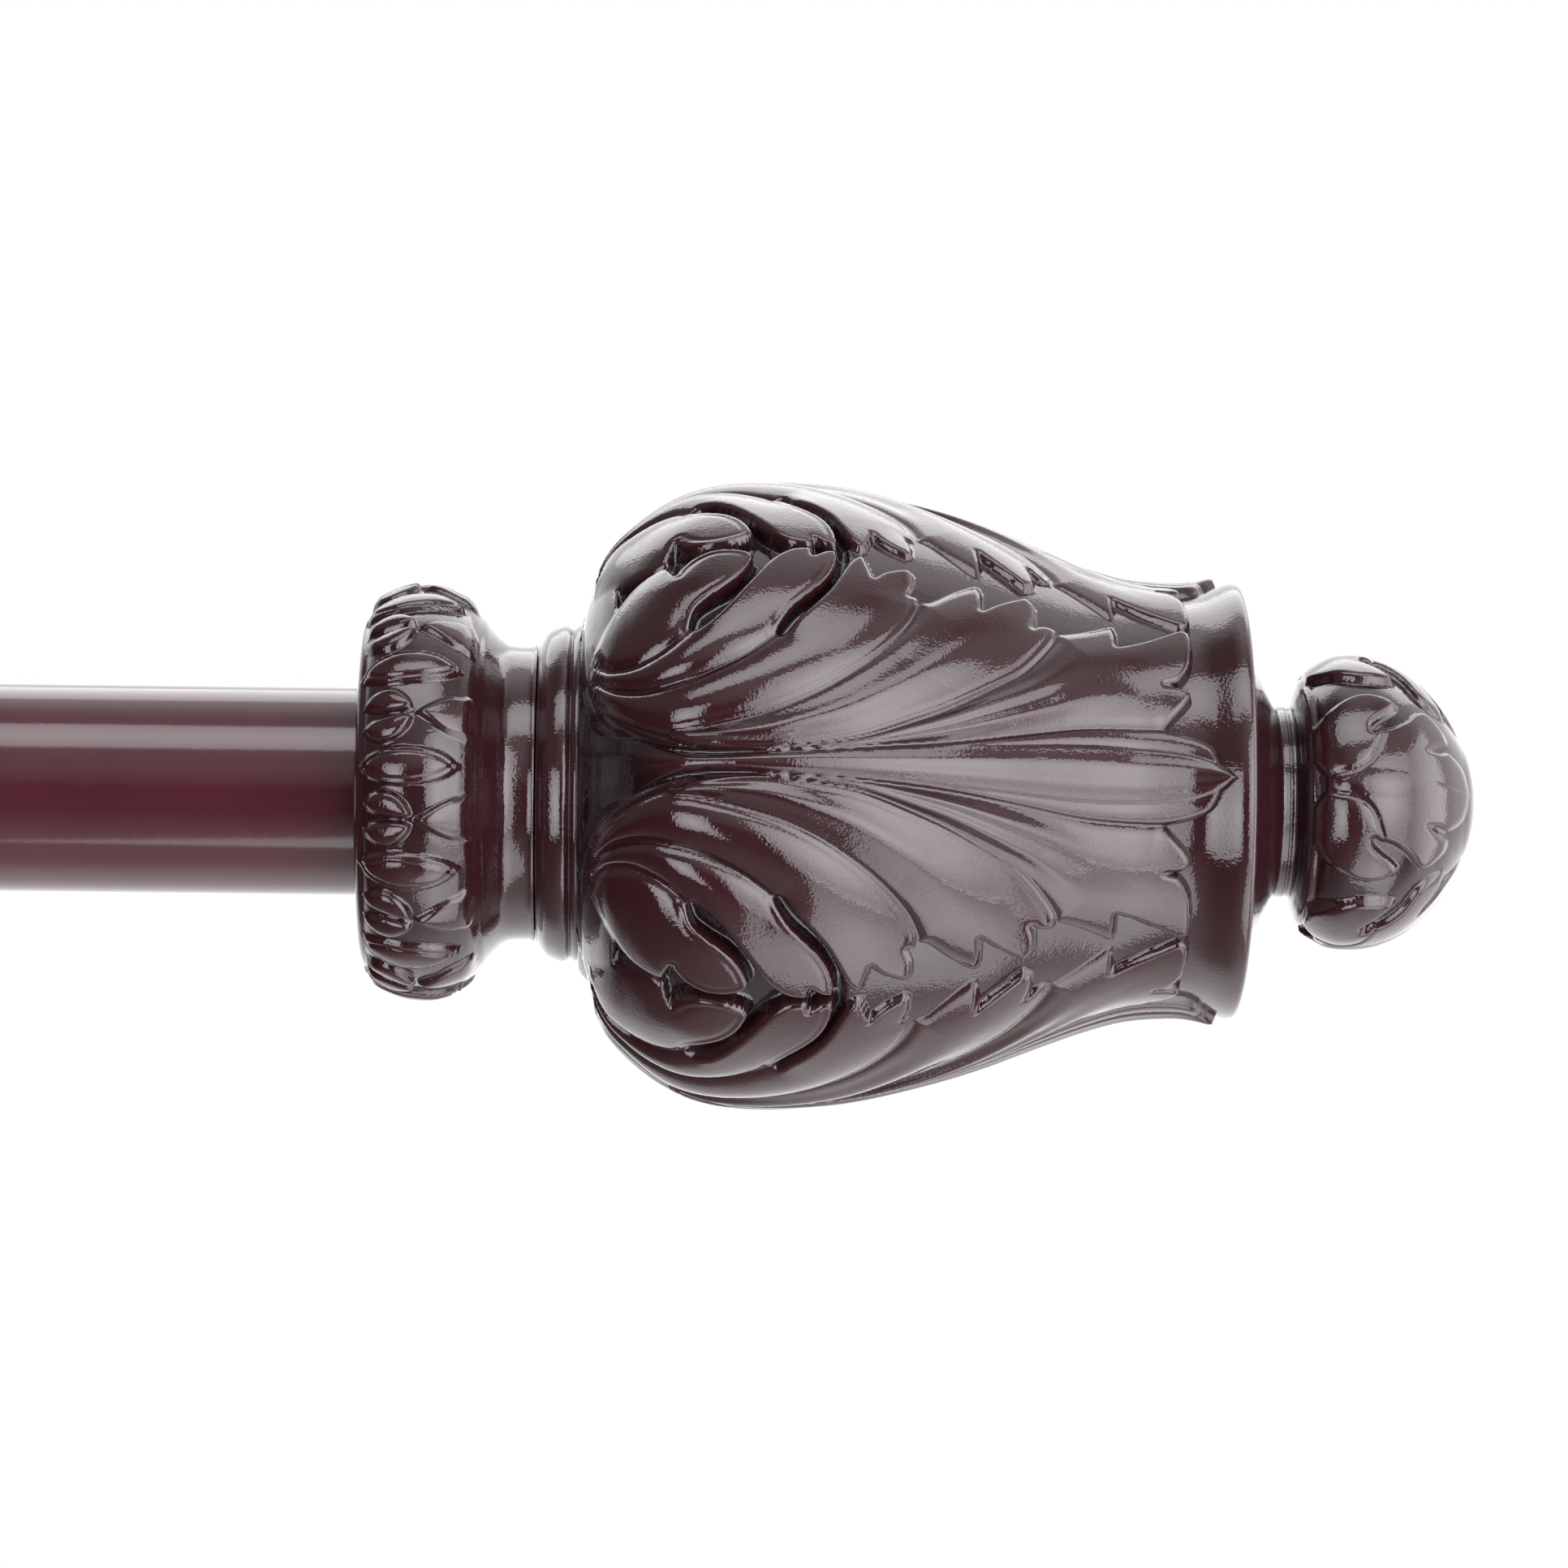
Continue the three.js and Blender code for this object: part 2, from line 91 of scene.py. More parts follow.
def node_centre(node):
    """Middle of a node's box, in millimetres."""
    low, high = node_box(node)
    return (low + high) / 2


def node_radius(node):
    """Radius of a node that is turned about the rod's axis, in millimetres."""
    low, high = node_box(node)
    return (high.z - low.z) / 2


TUBE_LOW, TUBE_HIGH = node_box("outer_tube")
ROD_Y = (TUBE_LOW.y + TUBE_HIGH.y) / 2
ROD_RADIUS = node_radius("outer_tube")
BUD_RADIUS = node_radius("right_bud")
COLLAR_FACE = {"right": node_box("right_collar")[0].x, "left": node_box("left_collar")[1].x}
FIT = 0.3  # play between nested turned parts
TUBE_WALL = 0.8
COLLAR_BORE = 16.8
TIE_BORE = 3.3
TURNED_STEPS = 160
LAP = 0.25  # mm that a turned piece runs past its node, so that no gap shows beside it


def finial_place(side):
    """From a finial's own frame, in mm along +X from its collar's face, to the whole frame, in metres."""
    turn = 0 if side == "right" else math.pi
    place = Matrix.Translation((COLLAR_FACE[side] * MM, ROD_Y * MM, 0))
    return place @ Matrix.Rotation(turn, 4, "Z") @ Matrix.Scale(MM, 4)


def place_at(x, y, z, turn=0, axis="Y"):
    """From the own frame, in mm, of a piece that stands at x, y, z to the whole frame, in metres."""
    stand = Matrix.Translation(Vector((x, y, z)) * MM)
    return stand @ Matrix.Rotation(turn, 4, axis) @ Matrix.Scale(MM, 4)


def station(node):
    """Where a right-hand finial node starts and ends along the finial's axis, in millimetres."""
    low, high = node_box(node)
    return low.x - COLLAR_FACE["right"], high.x - COLLAR_FACE["right"]


# ---------------------------------------------------------------- settings


def linear(hex_colour):
    """An sRGB hex colour as linear red, green, blue and alpha."""
    parts = [int(hex_colour[i:i + 2], 16) / 255 for i in (1, 3, 5)]
    return [p / 12.92 if p <= 0.04045 else ((p + 0.055) / 1.055) ** 2.4 for p in parts] + [1.0]


def colour_property(name, description, hex_colour):
    return FloatVectorProperty(
        name=name, description=description, default=linear(hex_colour), size=4, min=0, max=1, subtype="COLOR"
    )


def length_property(name, description, millimetres):
    return FloatProperty(
        name=name, description=description, default=millimetres * MM, min=0, unit="LENGTH", precision=5
    )


class FinialSettings(bpy.types.PropertyGroup):
    lacquer: colour_property("Lacquer", "Mahogany lacquer on the raised carving", "#1f0c0f")
    # The second finial colour is painted shade: it darkens the hollows of the carving, where shade falls.
    hollow_shade_colour: colour_property("Hollow_shade", "Darker glaze that settles in the hollows", "#100607")
    leaf_turn: FloatProperty(
        name="Leaf turn",
        description="Height of the front leaf's midrib above the room-facing side",
        default=math.radians(6.2),
        subtype="ANGLE",
    )
    leaf_rows: IntProperty(name="Leaf rows", description="Rows of facets along a leaf", default=280, min=40)
    leaf_columns: IntProperty(name="Leaf columns", description="Facets across a leaf", default=256, min=40)
    ground_depth: length_property("Ground depth", "Depth of the plain ground below the leaves", 2.2)


class RodSettings(bpy.types.PropertyGroup):
    paint: colour_property("Tube paint", "Wine-red lacquer on the tubes", "#2f0f15")
    nylon: colour_property("Nylon", "Moulded nylon of the bushes and sleeves", "#1b1919")
    edge_radius: length_property("Edge radius", "Rounding of the tubes' ends", 0.25)


class BracketSettings(bpy.types.PropertyGroup):
    paint: colour_property("Bracket paint", "Mahogany lacquer on the brackets", "#301318")
    steel: colour_property("Steel", "Bright zinc plate of the fasteners", "#b4b3ae")
    edge_radius: length_property("Edge radius", "Rounding of pressed and machined edges", 0.5)
    knurl_ridges: IntProperty(name="Knurl ridges", description="Ridges round a thumbscrew", default=36, min=8)


class StageSettings(bpy.types.PropertyGroup):
    floor: colour_property("Floor", "Pale seamless floor", "#d2d1d0")
    floor_drop: length_property("Floor drop", "Height of the rod's axis above the floor", 450)
    camera_distance: length_property("Camera distance", "Camera to the rod's axis", 680)
    camera_lens: FloatProperty(name="Lens", description="Focal length", default=127.7, min=10, unit="CAMERA")


# ---------------------------------------------------------------- materials


def add_node(tree, kind, settings=None, **links):
    """Adds a node with its settings and inputs. A link's value is (node, output) or a constant."""
    made = tree.nodes.new(kind)
    for key, value in (settings or {}).items():
        setattr(made, key, value)
    for key, value in links.items():
        socket = made.inputs[int(key[1:]) if key[0] == "i" and key[1:].isdigit() else key.replace("_", " ")]
        if isinstance(value, tuple) and isinstance(value[0], bpy.types.Node):
            tree.links.new(value[0].outputs[value[1]], socket)
        else:
            socket.default_value = value
    return made


def new_material(name, **sockets):
    """A node material that holds only its shader, with the constants given, and its output."""
    material = bpy.data.materials.new(name)
    material.use_nodes = True
    tree = material.node_tree
    tree.nodes.clear()
    shader = add_node(tree, "ShaderNodeBsdfPrincipled", **sockets)
    add_node(tree, "ShaderNodeOutputMaterial", Surface=(shader, "BSDF"))
    return material, tree, shader


def two_colours(tree, shader, factor, low, high, start=0.35, end=0.65):
    """Colours the shader between two colours as a factor goes from start to end."""
    ramp = add_node(tree, "ShaderNodeValToRGB", Fac=factor)
    for element, position, colour in zip(ramp.color_ramp.elements, (start, end), (low, high)):
        element.position = position
        element.color = colour
    tree.links.new(ramp.outputs["Color"], shader.inputs["Base Color"])


def darker(colour, share):
    """A linear colour with its light cut to a share."""
    return [channel * share for channel in colour[:3]] + [1.0]


def per_metre(millimetres):
    """Noise scale whose features measure the millimetres given."""
    return 1 / (millimetres * MM)


def lacquered_resin(name):
    """Cast resin under thick brushed lacquer: near-mirror gloss, orange peel, and painted shade that darkens
    the hollows.
    """
    settings = bpy.context.scene.curtain_finial
    material, tree, shader = new_material(
        name, Roughness=0.3, IOR=1.5, Specular_IOR_Level=0.02, Coat_Weight=1.0, Coat_Roughness=0.05
    )
    place = add_node(tree, "ShaderNodeTexCoord")
    depth = add_node(tree, "ShaderNodeAttribute", {"attribute_name": "hollow"})
    # Pigment drifts over about 9 mm, and painted shade darkens the colour where the carving is deepest.
    drift = add_node(tree, "ShaderNodeTexNoise", Vector=(place, "Object"), Scale=per_metre(9), Detail=3.0)
    drift_and_shade = add_node(
        tree, "ShaderNodeMath", {"operation": "MULTIPLY_ADD"}, i0=(drift, "Fac"), i1=0.25, i2=(depth, "Fac")
    )
    two_colours(tree, shader, (drift_and_shade, "Value"), list(settings.lacquer), list(settings.hollow_shade_colour), 0.2, 0.8)
    # Orange peel of 1.3 mm and brush-out ripple of 0.35 mm.
    peel = add_node(tree, "ShaderNodeTexNoise", Vector=(place, "Object"), Scale=per_metre(1.3), Detail=2.0)
    ripple = add_node(
        tree, "ShaderNodeTexNoise", Vector=(place, "Object"), Scale=per_metre(0.35), Detail=1.0
    )
    both = add_node(
        tree, "ShaderNodeMath", {"operation": "MULTIPLY_ADD"}, i0=(ripple, "Fac"), i1=1.1, i2=(peel, "Fac")
    )
    bump = add_node(tree, "ShaderNodeBump", Strength=0.6, Distance=0.00003, Height=(both, "Value"))
    for socket in ("Normal", "Coat Normal"):
        tree.links.new(bump.outputs["Normal"], shader.inputs[socket])
    return material


def lacquered_steel(name, paint, peel_size):
    """Steel under a sprayed lacquer: even colour, satin gloss and a fine peel."""
    material, tree, shader = new_material(
        name, Roughness=0.4, IOR=1.5, Specular_IOR_Level=0.02, Coat_Weight=1.0, Coat_Roughness=0.11
    )
    place = add_node(tree, "ShaderNodeTexCoord")
    drift = add_node(tree, "ShaderNodeTexNoise", Vector=(place, "Object"), Scale=per_metre(14), Detail=3.0)
    two_colours(tree, shader, (drift, "Fac"), darker(paint, 0.8), list(paint), 0.3, 0.7)
    peel = add_node(
        tree, "ShaderNodeTexNoise", Vector=(place, "Object"), Scale=per_metre(peel_size), Detail=2.0
    )
    bump = add_node(tree, "ShaderNodeBump", Strength=0.3, Distance=0.00002, Height=(peel, "Fac"))
    for socket in ("Normal", "Coat Normal"):
        tree.links.new(bump.outputs["Normal"], shader.inputs[socket])
    return material


def zinc_plated_steel(name):
    """Bright zinc on turned steel: a clear grey-white metal with faint mottling."""
    material, tree, shader = new_material(name, Metallic=1.0)
    place = add_node(tree, "ShaderNodeTexCoord")
    mottle = add_node(tree, "ShaderNodeTexNoise", Vector=(place, "Object"), Scale=per_metre(1.2), Detail=4.0)
    steel = bpy.context.scene.curtain_bracket.steel
    two_colours(tree, shader, (mottle, "Fac"), darker(steel, 0.75), list(steel))
    rough = add_node(tree, "ShaderNodeMapRange", Value=(mottle, "Fac"), To_Min=0.28, To_Max=0.42)
    tree.links.new(rough.outputs["Result"], shader.inputs["Roughness"])
    return material


def moulded_nylon(name):
    """Moulded nylon: near-black, with the fine spark-eroded texture of its mould."""
    material, tree, shader = new_material(name, Roughness=0.5, IOR=1.53)
    place = add_node(tree, "ShaderNodeTexCoord")
    grain = add_node(tree, "ShaderNodeTexNoise", Vector=(place, "Object"), Scale=per_metre(0.4), Detail=3.0)
    dark = bpy.context.scene.curtain_rod.nylon
    two_colours(tree, shader, (grain, "Fac"), darker(dark, 0.7), list(dark))
    bump = add_node(tree, "ShaderNodeBump", Strength=0.4, Distance=0.00003, Height=(grain, "Fac"))
    tree.links.new(bump.outputs["Normal"], shader.inputs["Normal"])
    return material


def material_named(name, make, *values):
    """The material of that name, made the first time that it is asked for."""
    found = bpy.data.materials.get(name)
    return found if found is not None else make(name, *values)


def resin():
    return material_named("lacquered_cast_resin", lacquered_resin)


def tube_paint():
    return material_named("lacquered_steel_tube", lacquered_steel, bpy.context.scene.curtain_rod.paint, 1.1)


def bracket_paint():
    paint = bpy.context.scene.curtain_bracket.paint
    return material_named("lacquered_pressed_steel", lacquered_steel, paint, 0.9)


def zinc():
    return material_named("zinc_plated_steel", zinc_plated_steel)


def nylon():
    return material_named("moulded_nylon", moulded_nylon)


# ---------------------------------------------------------------- mesh helpers


def spin_profile(profile, steps, angle=2 * math.pi, use_merge=True):
    """Spins (station, radius) points in mm round the X axis. Points on the axis close the ends."""
    bm = bmesh.new()
    verts = [bm.verts.new((x, -r, 0)) for x, r in profile]
    edges = [bm.edges.new(pair) for pair in zip(verts, verts[1:])]
    bmesh.ops.spin(
        bm, geom=verts + edges, cent=(0, 0, 0), axis=(1, 0, 0), angle=angle, steps=steps, use_merge=use_merge
    )
    return bm


def spun(profile, steps):
    """A whole turned piece, with its seam and poles closed."""
    bm = spin_profile(profile, steps)
    bmesh.ops.remove_doubles(bm, verts=bm.verts, dist=1e-4)
    bmesh.ops.recalc_face_normals(bm, faces=bm.faces)
    return bm


def closed(profile):
    return [*profile, profile[0]]


def moved_along(points, start):
    """(station, radius) points whose stations are counted from a start."""
    return [(start + x, r) for x, r in points]


def finish_piece(name, bm, place, material, body, slot, replaced, crease=35):
    """Turns a mesh in millimetres into a finished piece that rides on a body and stands for a CAD node."""
    mesh = bpy.data.meshes.new(name)
    bm.to_mesh(mesh)
    bm.free()
    mesh.transform(place)
    finish_mesh(name, mesh, material, body, slot, replaced, crease)


def finish_mesh(name, mesh, material, body, slot, replaced, crease=0):
    """Makes a mesh in its place a piece. Edges sharper than a crease of some degrees are shaded sharp."""
    mesh.materials.clear()
    mesh.materials.append(material)
    mesh.shade_smooth()
    if crease:
        mesh.set_sharp_from_angle(angle=math.radians(crease))
    piece = bpy.data.objects.new(name, mesh)
    bpy.context.scene.collection.objects.link(piece)
    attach(piece, body)
    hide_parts(replaced)


def finish_finial_piece(side, name, made, node, crease=0, turn=0):
    """Finishes a piece of a finial, turned about the finial's axis, from a bmesh or a carved mesh in mm."""
    place = finial_place(side) @ Matrix.Rotation(turn, 4, "X")
    rest = (resin(), f"{side}_finial", "finial_lacquer", f"{side}_{node}", crease)
    if isinstance(made, bmesh.types.BMesh):
        finish_piece(f"{side}_{name}", made, place, *rest)
    else:
        made.transform(place)
        finish_mesh(f"{side}_{name}", made, *rest)


def finish_bracket_piece(name, bm, place, body, node, crease=30):
    finish_piece(name, bm, place, bracket_paint(), body, "bracket_paint", node, crease)


def bevel_edges(bm, edges, radius, segments):
    bmesh.ops.bevel(
        bm, geom=edges, offset=radius, offset_type="OFFSET", segments=segments, profile=0.5,
        affect="EDGES", material=-1, clamp_overlap=True,
    )


def bevel_sharp(bm, radius, segments, sharper_than=30):
    """Rounds every edge whose faces meet at more than an angle in degrees."""
    limit = math.radians(sharper_than)
    edges = [e for e in bm.edges if len(e.link_faces) == 2 and e.calc_face_angle(0) > limit]
    bevel_edges(bm, edges, radius, segments)


def boundary(bm):
    return [e for e in bm.edges if e.is_boundary]


def new_verts(extruded):
    """The vertices that an extrusion made."""
    return [v for v in extruded["geom"] if isinstance(v, bmesh.types.BMVert)]


def catmull(points, steps=8):
    """A smooth path through points, as an array."""
    p = np.array(points, float)
    if len(p) == 2:
        return p
    ends = np.vstack([2 * p[0] - p[1], p, 2 * p[-1] - p[-2]])
    t = np.linspace(0, 1, steps, endpoint=False)[:, None]
    spans = []
    for a, b, c, d in zip(ends, ends[1:], ends[2:], ends[3:]):
        spans.append(
            0.5 * (2 * b + (c - a) * t + (2 * a - 5 * b + 4 * c - d) * t**2 + (3 * b - a - 3 * c + d) * t**3)
        )
    return np.vstack([*spans, p[-1:]])


# ---------------------------------------------------------------- carving


# How a carved shape meets what lies beyond its edge: the width over which it rolls down and by how much,
# then the distance, half width and depth of the fine groove that runs inside the edge, all in mm.
ROLL = {
    "edge": (0.8, 0.6, 0.0, 1.0, 0.0),  # free edge, rolled over
    "lip": (0.45, 0.4, 0.95, 0.22, 0.1),  # crisp edge that lies over the next shape
    "crisp": (0.5, 0.35, 0.0, 1.0, 0.0),  # crisp edge with no groove
    "bead": (0.4, 0.45, 0.62, 0.2, 0.3),  # raised bead round a sunk boss
    "sunk": (1.8, 0.45, 0.0, 1.0, 0.0),  # dips under the next shape's lip
    "soft": (1.2, 0.25, 0.0, 1.0, 0.0),  # meets its neighbour in a crease
    "none": (0.0, 0.0, 0.0, 1.0, 0.0),  # hidden under another shape, or past the mirror line
}
SKIRT_SLOPE = 2.8  # mm down for each mm out from a shape's edge
FLUTE_FADE = 12.0  # mm over which a lobe's flutes rise from its toothed end
SHADE_FROM, SHADE_RANGE = 0.5, 1.8  # mm below the outside where the painted shade in the hollows begins, and mm over which it darkens fully


def distance_to(points, path):
    """Distance from each point to a path of straight steps."""
    best = np.full(len(points), 1e9)
    for a, b in zip(path, path[1:]):
        along = b - a
        length = max(float(along @ along), 1e-12)
        t = np.clip(((points - a) @ along) / length, 0, 1)
        best = np.minimum(best, np.hypot(*(points - a - t[:, None] * along).T))
    return best


def within(points, outline):
    """Whether each point is inside a closed outline."""
    x, y = points.T
    inside = np.zeros(len(points), bool)
    for (x0, y0), (x1, y1) in zip(outline, np.roll(outline, -1, axis=0)):
        if y0 == y1:
            continue
        crosses = ((y0 > y) != (y1 > y)) & (x < (x1 - x0) * (y - y0) / (y1 - y0) + x0)
        inside ^= crosses
    return inside


class Shape:
    """One carved shape: strokes of (station mm, angle deg) points that close on themselves, each with a
    way of meeting what lies beyond it. Its first and last strokes are its two sides, and a dome rises
    between them. The level is that of the sides, in mm above the plain outside, as a number or as
    (station, level) points."""

    def __init__(self, strokes, level=0.0, crown=0.0, flutes=0, flute_depth=0.0):
        self.strokes = [(kind, catmull(points, 1 if kind == "none" else 8)) for kind, points in strokes]
        varied = isinstance(level, list)
        self.level = catmull(level, 6).T if varied else np.array([[0.0, 1.0], [level, level]])
        self.crown = crown
        self.flutes = flutes
        self.flute_depth = flute_depth

    def height(self, places, unroll):
        """Height at each (station, angle) place. unroll turns such places into flat millimetres."""
        flat = unroll(places)
        paths = [(kind, unroll(path)) for kind, path in self.strokes]
        away = [distance_to(flat, path) for kind, path in paths]
        inside = within(flat, np.vstack([path[:-1] for kind, path in paths]))
        nearest = np.min(away, axis=0)
        drops = np.array([ROLL[kind][1] for kind, path in paths])
        rolled = np.zeros(len(flat))
        for (kind, path), distance in zip(paths, away):
            width, drop, place, half_width, depth = ROLL[kind]
            if width:
                rolled = np.maximum(rolled, drop * np.clip(1 - distance / width, 0, 1) ** 2)
            rolled = rolled + depth * np.exp(-(((distance - place) / half_width) ** 2))
        level = np.interp(places[:, 0], *self.level)
        across = away[0] / np.maximum(away[0] + away[-1], 1e-6)
        dome = 4 * across * (1 - across)
        top = level + self.crown * dome - rolled
        if self.flutes:
            teeth = [d for (kind, path), d in zip(paths[1:-1], away[1:-1]) if kind != "none"]
            ends = np.min([*teeth, np.full(len(flat), FLUTE_FADE)], axis=0)
            rise = np.clip(ends / FLUTE_FADE, 0, 1) ** 2
            top = top - self.flute_depth * rise * 0.5 * (1 - np.cos(2 * math.pi * self.flutes * across))
        skirt = level - drops[np.argmin(away, axis=0)] - SKIRT_SLOPE * nearest
        return np.where(inside, top, skirt)


def shifted(points, degrees):
    """An outline turned round the rod's axis."""
    return [(x, a + degrees) for x, a in points]


def mirrored_outline(points):
    """The two sides of an outline that crosses the mirror line twice, from the side at positive angles."""
    return points, [(x, -a) for x, a in reversed(points)]


# Half an acanthus leaf, from its midrib at 0 degrees to the fold against the next leaf at 45 degrees. The
# angles run down one side of the leaf, and the other side is its mirror image. Neighbouring shapes share
# these lines.
TONGUE_SIDE = [(26.6, 32), (27.9, 21), (29, 14.4), (30.5, 10), (33, 6.6), (35.5, 4), (38, 2.2), (41, 1.4),
               (45, 1.4), (50, 1.9), (62, 3.0), (74, 4.8), (84, 6.7), (90, 7.3), (96, 6.9), (100, 5.5),
               (102.6, 3.0), (104.2, 0)]
SLIVER_SIDE = [(48, 2.0), (62, 3.5), (70, 4.9), (78, 7.5), (86, 10.8), (92, 12.2), (96, 12.3), (99.5, 10.5),
               (101.4, 8.2), (102.2, 5), (102.6, 3)]
SECOND_LIP = [(48, 2.0), (54, 3.1), (60, 4.9), (66, 8.7), (70, 11.8), (74, 15.9), (78, 20.8), (80, 24.6),
              (81.6, 28.8), (82.7, 32.5), (83.1, 35.2)]
THIRD_LIP = [(28.6, 20), (29.4, 15.2), (31, 11.6), (33, 8.8), (35.5, 6.5), (38, 5.6), (42, 6.4), (48, 8.7),
             (52, 11), (56, 14.3), (60, 18.9), (63, 23.5), (65.3, 28.4), (66.5, 32.8), (66.6, 35)]
FOURTH_CREASE = [(28.2, 26), (29.2, 20.6), (31, 17.4), (33.5, 15.7), (36, 15.3), (40, 16.3), (43, 18),
                 (46, 20.3), (48.4, 22.9), (49.8, 24.6)]
EYE_CREASE = [(28.2, 31), (28.8, 26.4), (30, 23.2), (31.7, 21.9), (33.6, 21.7), (36, 22.9), (38, 24.8),
              (39.6, 26.9)]


def leaf_shapes():
    """The leaf's shapes, the lowest first: its web, ground, outer lobes, midrib and inner lobes."""
    tongue = Shape(
        [("crisp", TONGUE_SIDE), ("crisp", mirrored_outline(TONGUE_SIDE)[1])],
        level=[(26.4, -0.4), (27.2, -2.6), (28.4, -4.0), (30, -4.0), (32, -3.0), (34, -1.9), (38, -0.9),
               (44, -0.5), (52, -0.35), (104, -0.2)],
        crown=0.5, flutes=3, flute_depth=0.07,
    )
    sliver = Shape(
        [
            ("crisp", SLIVER_SIDE),
            ("none", shifted(TONGUE_SIDE[9:], -1.6)[::-1]),
        ],
        level=-0.6, crown=0.3,
    )
    end_lobe = Shape(
        [
            ("sunk", shifted(SECOND_LIP, 0.5) + [(84.4, 37), (86, 38.8), (88, 41.5), (90.2, 44.8)]),
            ("edge", [(90.2, 44.8), (90.45, 40), (90.5, 35.9)]),
            ("edge", [(90.5, 35.9), (92, 37.4), (94.5, 40.2), (97, 43.3)]),
            ("edge", [(97, 43.3), (98.2, 44.4), (99.3, 43), (99.5, 38), (99.2, 32), (98.5, 28.3),
                      (97.6, 25.9)]),
            ("edge", [(97.6, 25.9), (96.2, 25)]),
            ("edge", [(96.2, 25), (97.6, 24.9), (98.8, 23.8), (99.1, 21.8), (98.4, 19), (97.3, 16.2),
                      (96, 13)]),
            ("sunk", [(96, 13), (95, 11.9), (92, 11.7), (86, 10.3), (78, 7), (70, 4.4), (62, 3.0),
                      (48, 1.5)]),
        ],
        level=-0.75, crown=0.95, flutes=3, flute_depth=0.3,
    )
    second_lobe = Shape(
        [
            ("lip", [(37.4, 4.9), (41, 3.0), *SECOND_LIP]),
            ("edge", [(83.1, 35.2), (82.8, 36.6), (81.8, 36.7), (80.9, 35.8), (80.2, 34.6)]),
            ("edge", [(80.2, 34.6), (80.7, 38), (80.5, 41.5), (79.6, 43.3)]),
            ("edge", [(79.6, 43.3), (78.2, 41.5), (76, 38.5), (74.1, 35.5)]),
            ("edge", [(74.1, 35.5), (74.2, 40), (73.8, 44.2)]),
            ("sunk", [(73.8, 44.2), (72, 41.9), (70, 39), (68, 36), (66.6, 35),
                      *shifted(THIRD_LIP, 0.6)[-2:4:-1], (37.4, 4.9)]),
        ],
        level=-0.7, crown=0.95, flutes=2, flute_depth=0.3,
    )
    third_lobe = Shape(
        [
            ("lip", THIRD_LIP),
            ("edge", [(66.6, 35), (66.3, 36.2), (65.5, 36.2)]),
            ("edge", [(65.5, 36.2), (66, 39), (65.9, 42), (65.4, 43)]),
            ("edge", [(65.4, 43), (64, 42.1), (62.4, 40.5), (61.3, 38.6)]),
            ("edge", [(61.3, 38.6), (60.8, 41), (60.2, 43.6), (59.4, 43.8)]),
            ("edge", [(59.4, 43.8), (58.3, 41.6), (57.3, 38.4), (56, 34.4), (54.3, 31), (52.3, 27.6),
                      (51.2, 25.2), (50.4, 24.4), (49.8, 24.6)]),
            ("soft", FOURTH_CREASE[::-1] + [(28.4, 23), (28.6, 20)]),
        ],
        level=-0.8, crown=1.15,
    )
    fourth_lobe = Shape(
        [
            ("soft", FOURTH_CREASE),
            ("lip", [(49.8, 24.6), (50.3, 26.4), (51.7, 29.6), (53.5, 32.4), (55.2, 35.2), (56.3, 38.2),
                     (56.9, 41.6), (56.9, 44.3)]),
            ("edge", [(56.9, 44.3), (55.6, 44.1), (54.2, 42.6)]),
            ("edge", [(54.2, 42.6), (53.9, 44.4), (52.8, 44.6), (51.4, 44), (49.9, 42.4), (48.6, 40.2),
                      (47.3, 37.4), (45.7, 34), (44, 30.6), (42.4, 28), (41, 26.6), (40.2, 26.4),
                      (39.6, 26.9)]),
            ("soft", EYE_CREASE[::-1] + [(28.2, 28), (28.2, 26)]),
        ],
        level=-0.75, crown=1.15,
    )
    eye = Shape(
        [
            ("soft", EYE_CREASE),
            ("lip", [(39.6, 26.9), (40.3, 30.2), (42, 32.4), (44, 34.4), (45.7, 37.1), (46.7, 40),
                     (46.9, 41.8), (46.2, 43), (44.2, 44), (42, 44.2), (40, 43.3), (38.7, 41.8),
                     (37.9, 40.2)]),
            ("edge", [(37.9, 40.2), (37.4, 42.5), (37.1, 44.8)]),
            ("edge", [(37.1, 44.8), (35.5, 45.1), (33.5, 44.4), (32, 42.6), (30.2, 38.6), (28.9, 35),
                      (28.2, 31)]),
        ],
        level=-0.5, crown=1.0,
    )
    web = Shape(
        [
            ("none", [(58.6, 50), (98.6, 50)]),
            ("edge", [(98.6, 50), (98.4, 40), (97, 34)]),
            ("none", [(97, 34), (85, 26), (70, 24), (58, 30), (58.6, 50)]),
        ],
        level=-1.0,
    )
    bed = Shape([("none", [(37, 50), (61, 50), (61, 36), (50, 20), (37, 20), (37, 50)])], level=-2.1)
    band = Shape(
        [
            ("lip", [(26.8, 48), (26.8, 40), (27.1, 30), (27.9, 21.5), (29.0, 14.6), (30.6, 10.4), (33, 7),
                     (36, 4.2), (39, 2.7), (46, 1.8), (56, 1.4)]),
            ("none", [(56, 1.4), (70, 6), (56, 14), (40, 10), (34, 14), (31, 26), (31, 48), (26.8, 48)]),
        ],
        level=-1.05,
    )
    return [web, bed, band, end_lobe, sliver, tongue, second_lobe, third_lobe, fourth_lobe, eye]


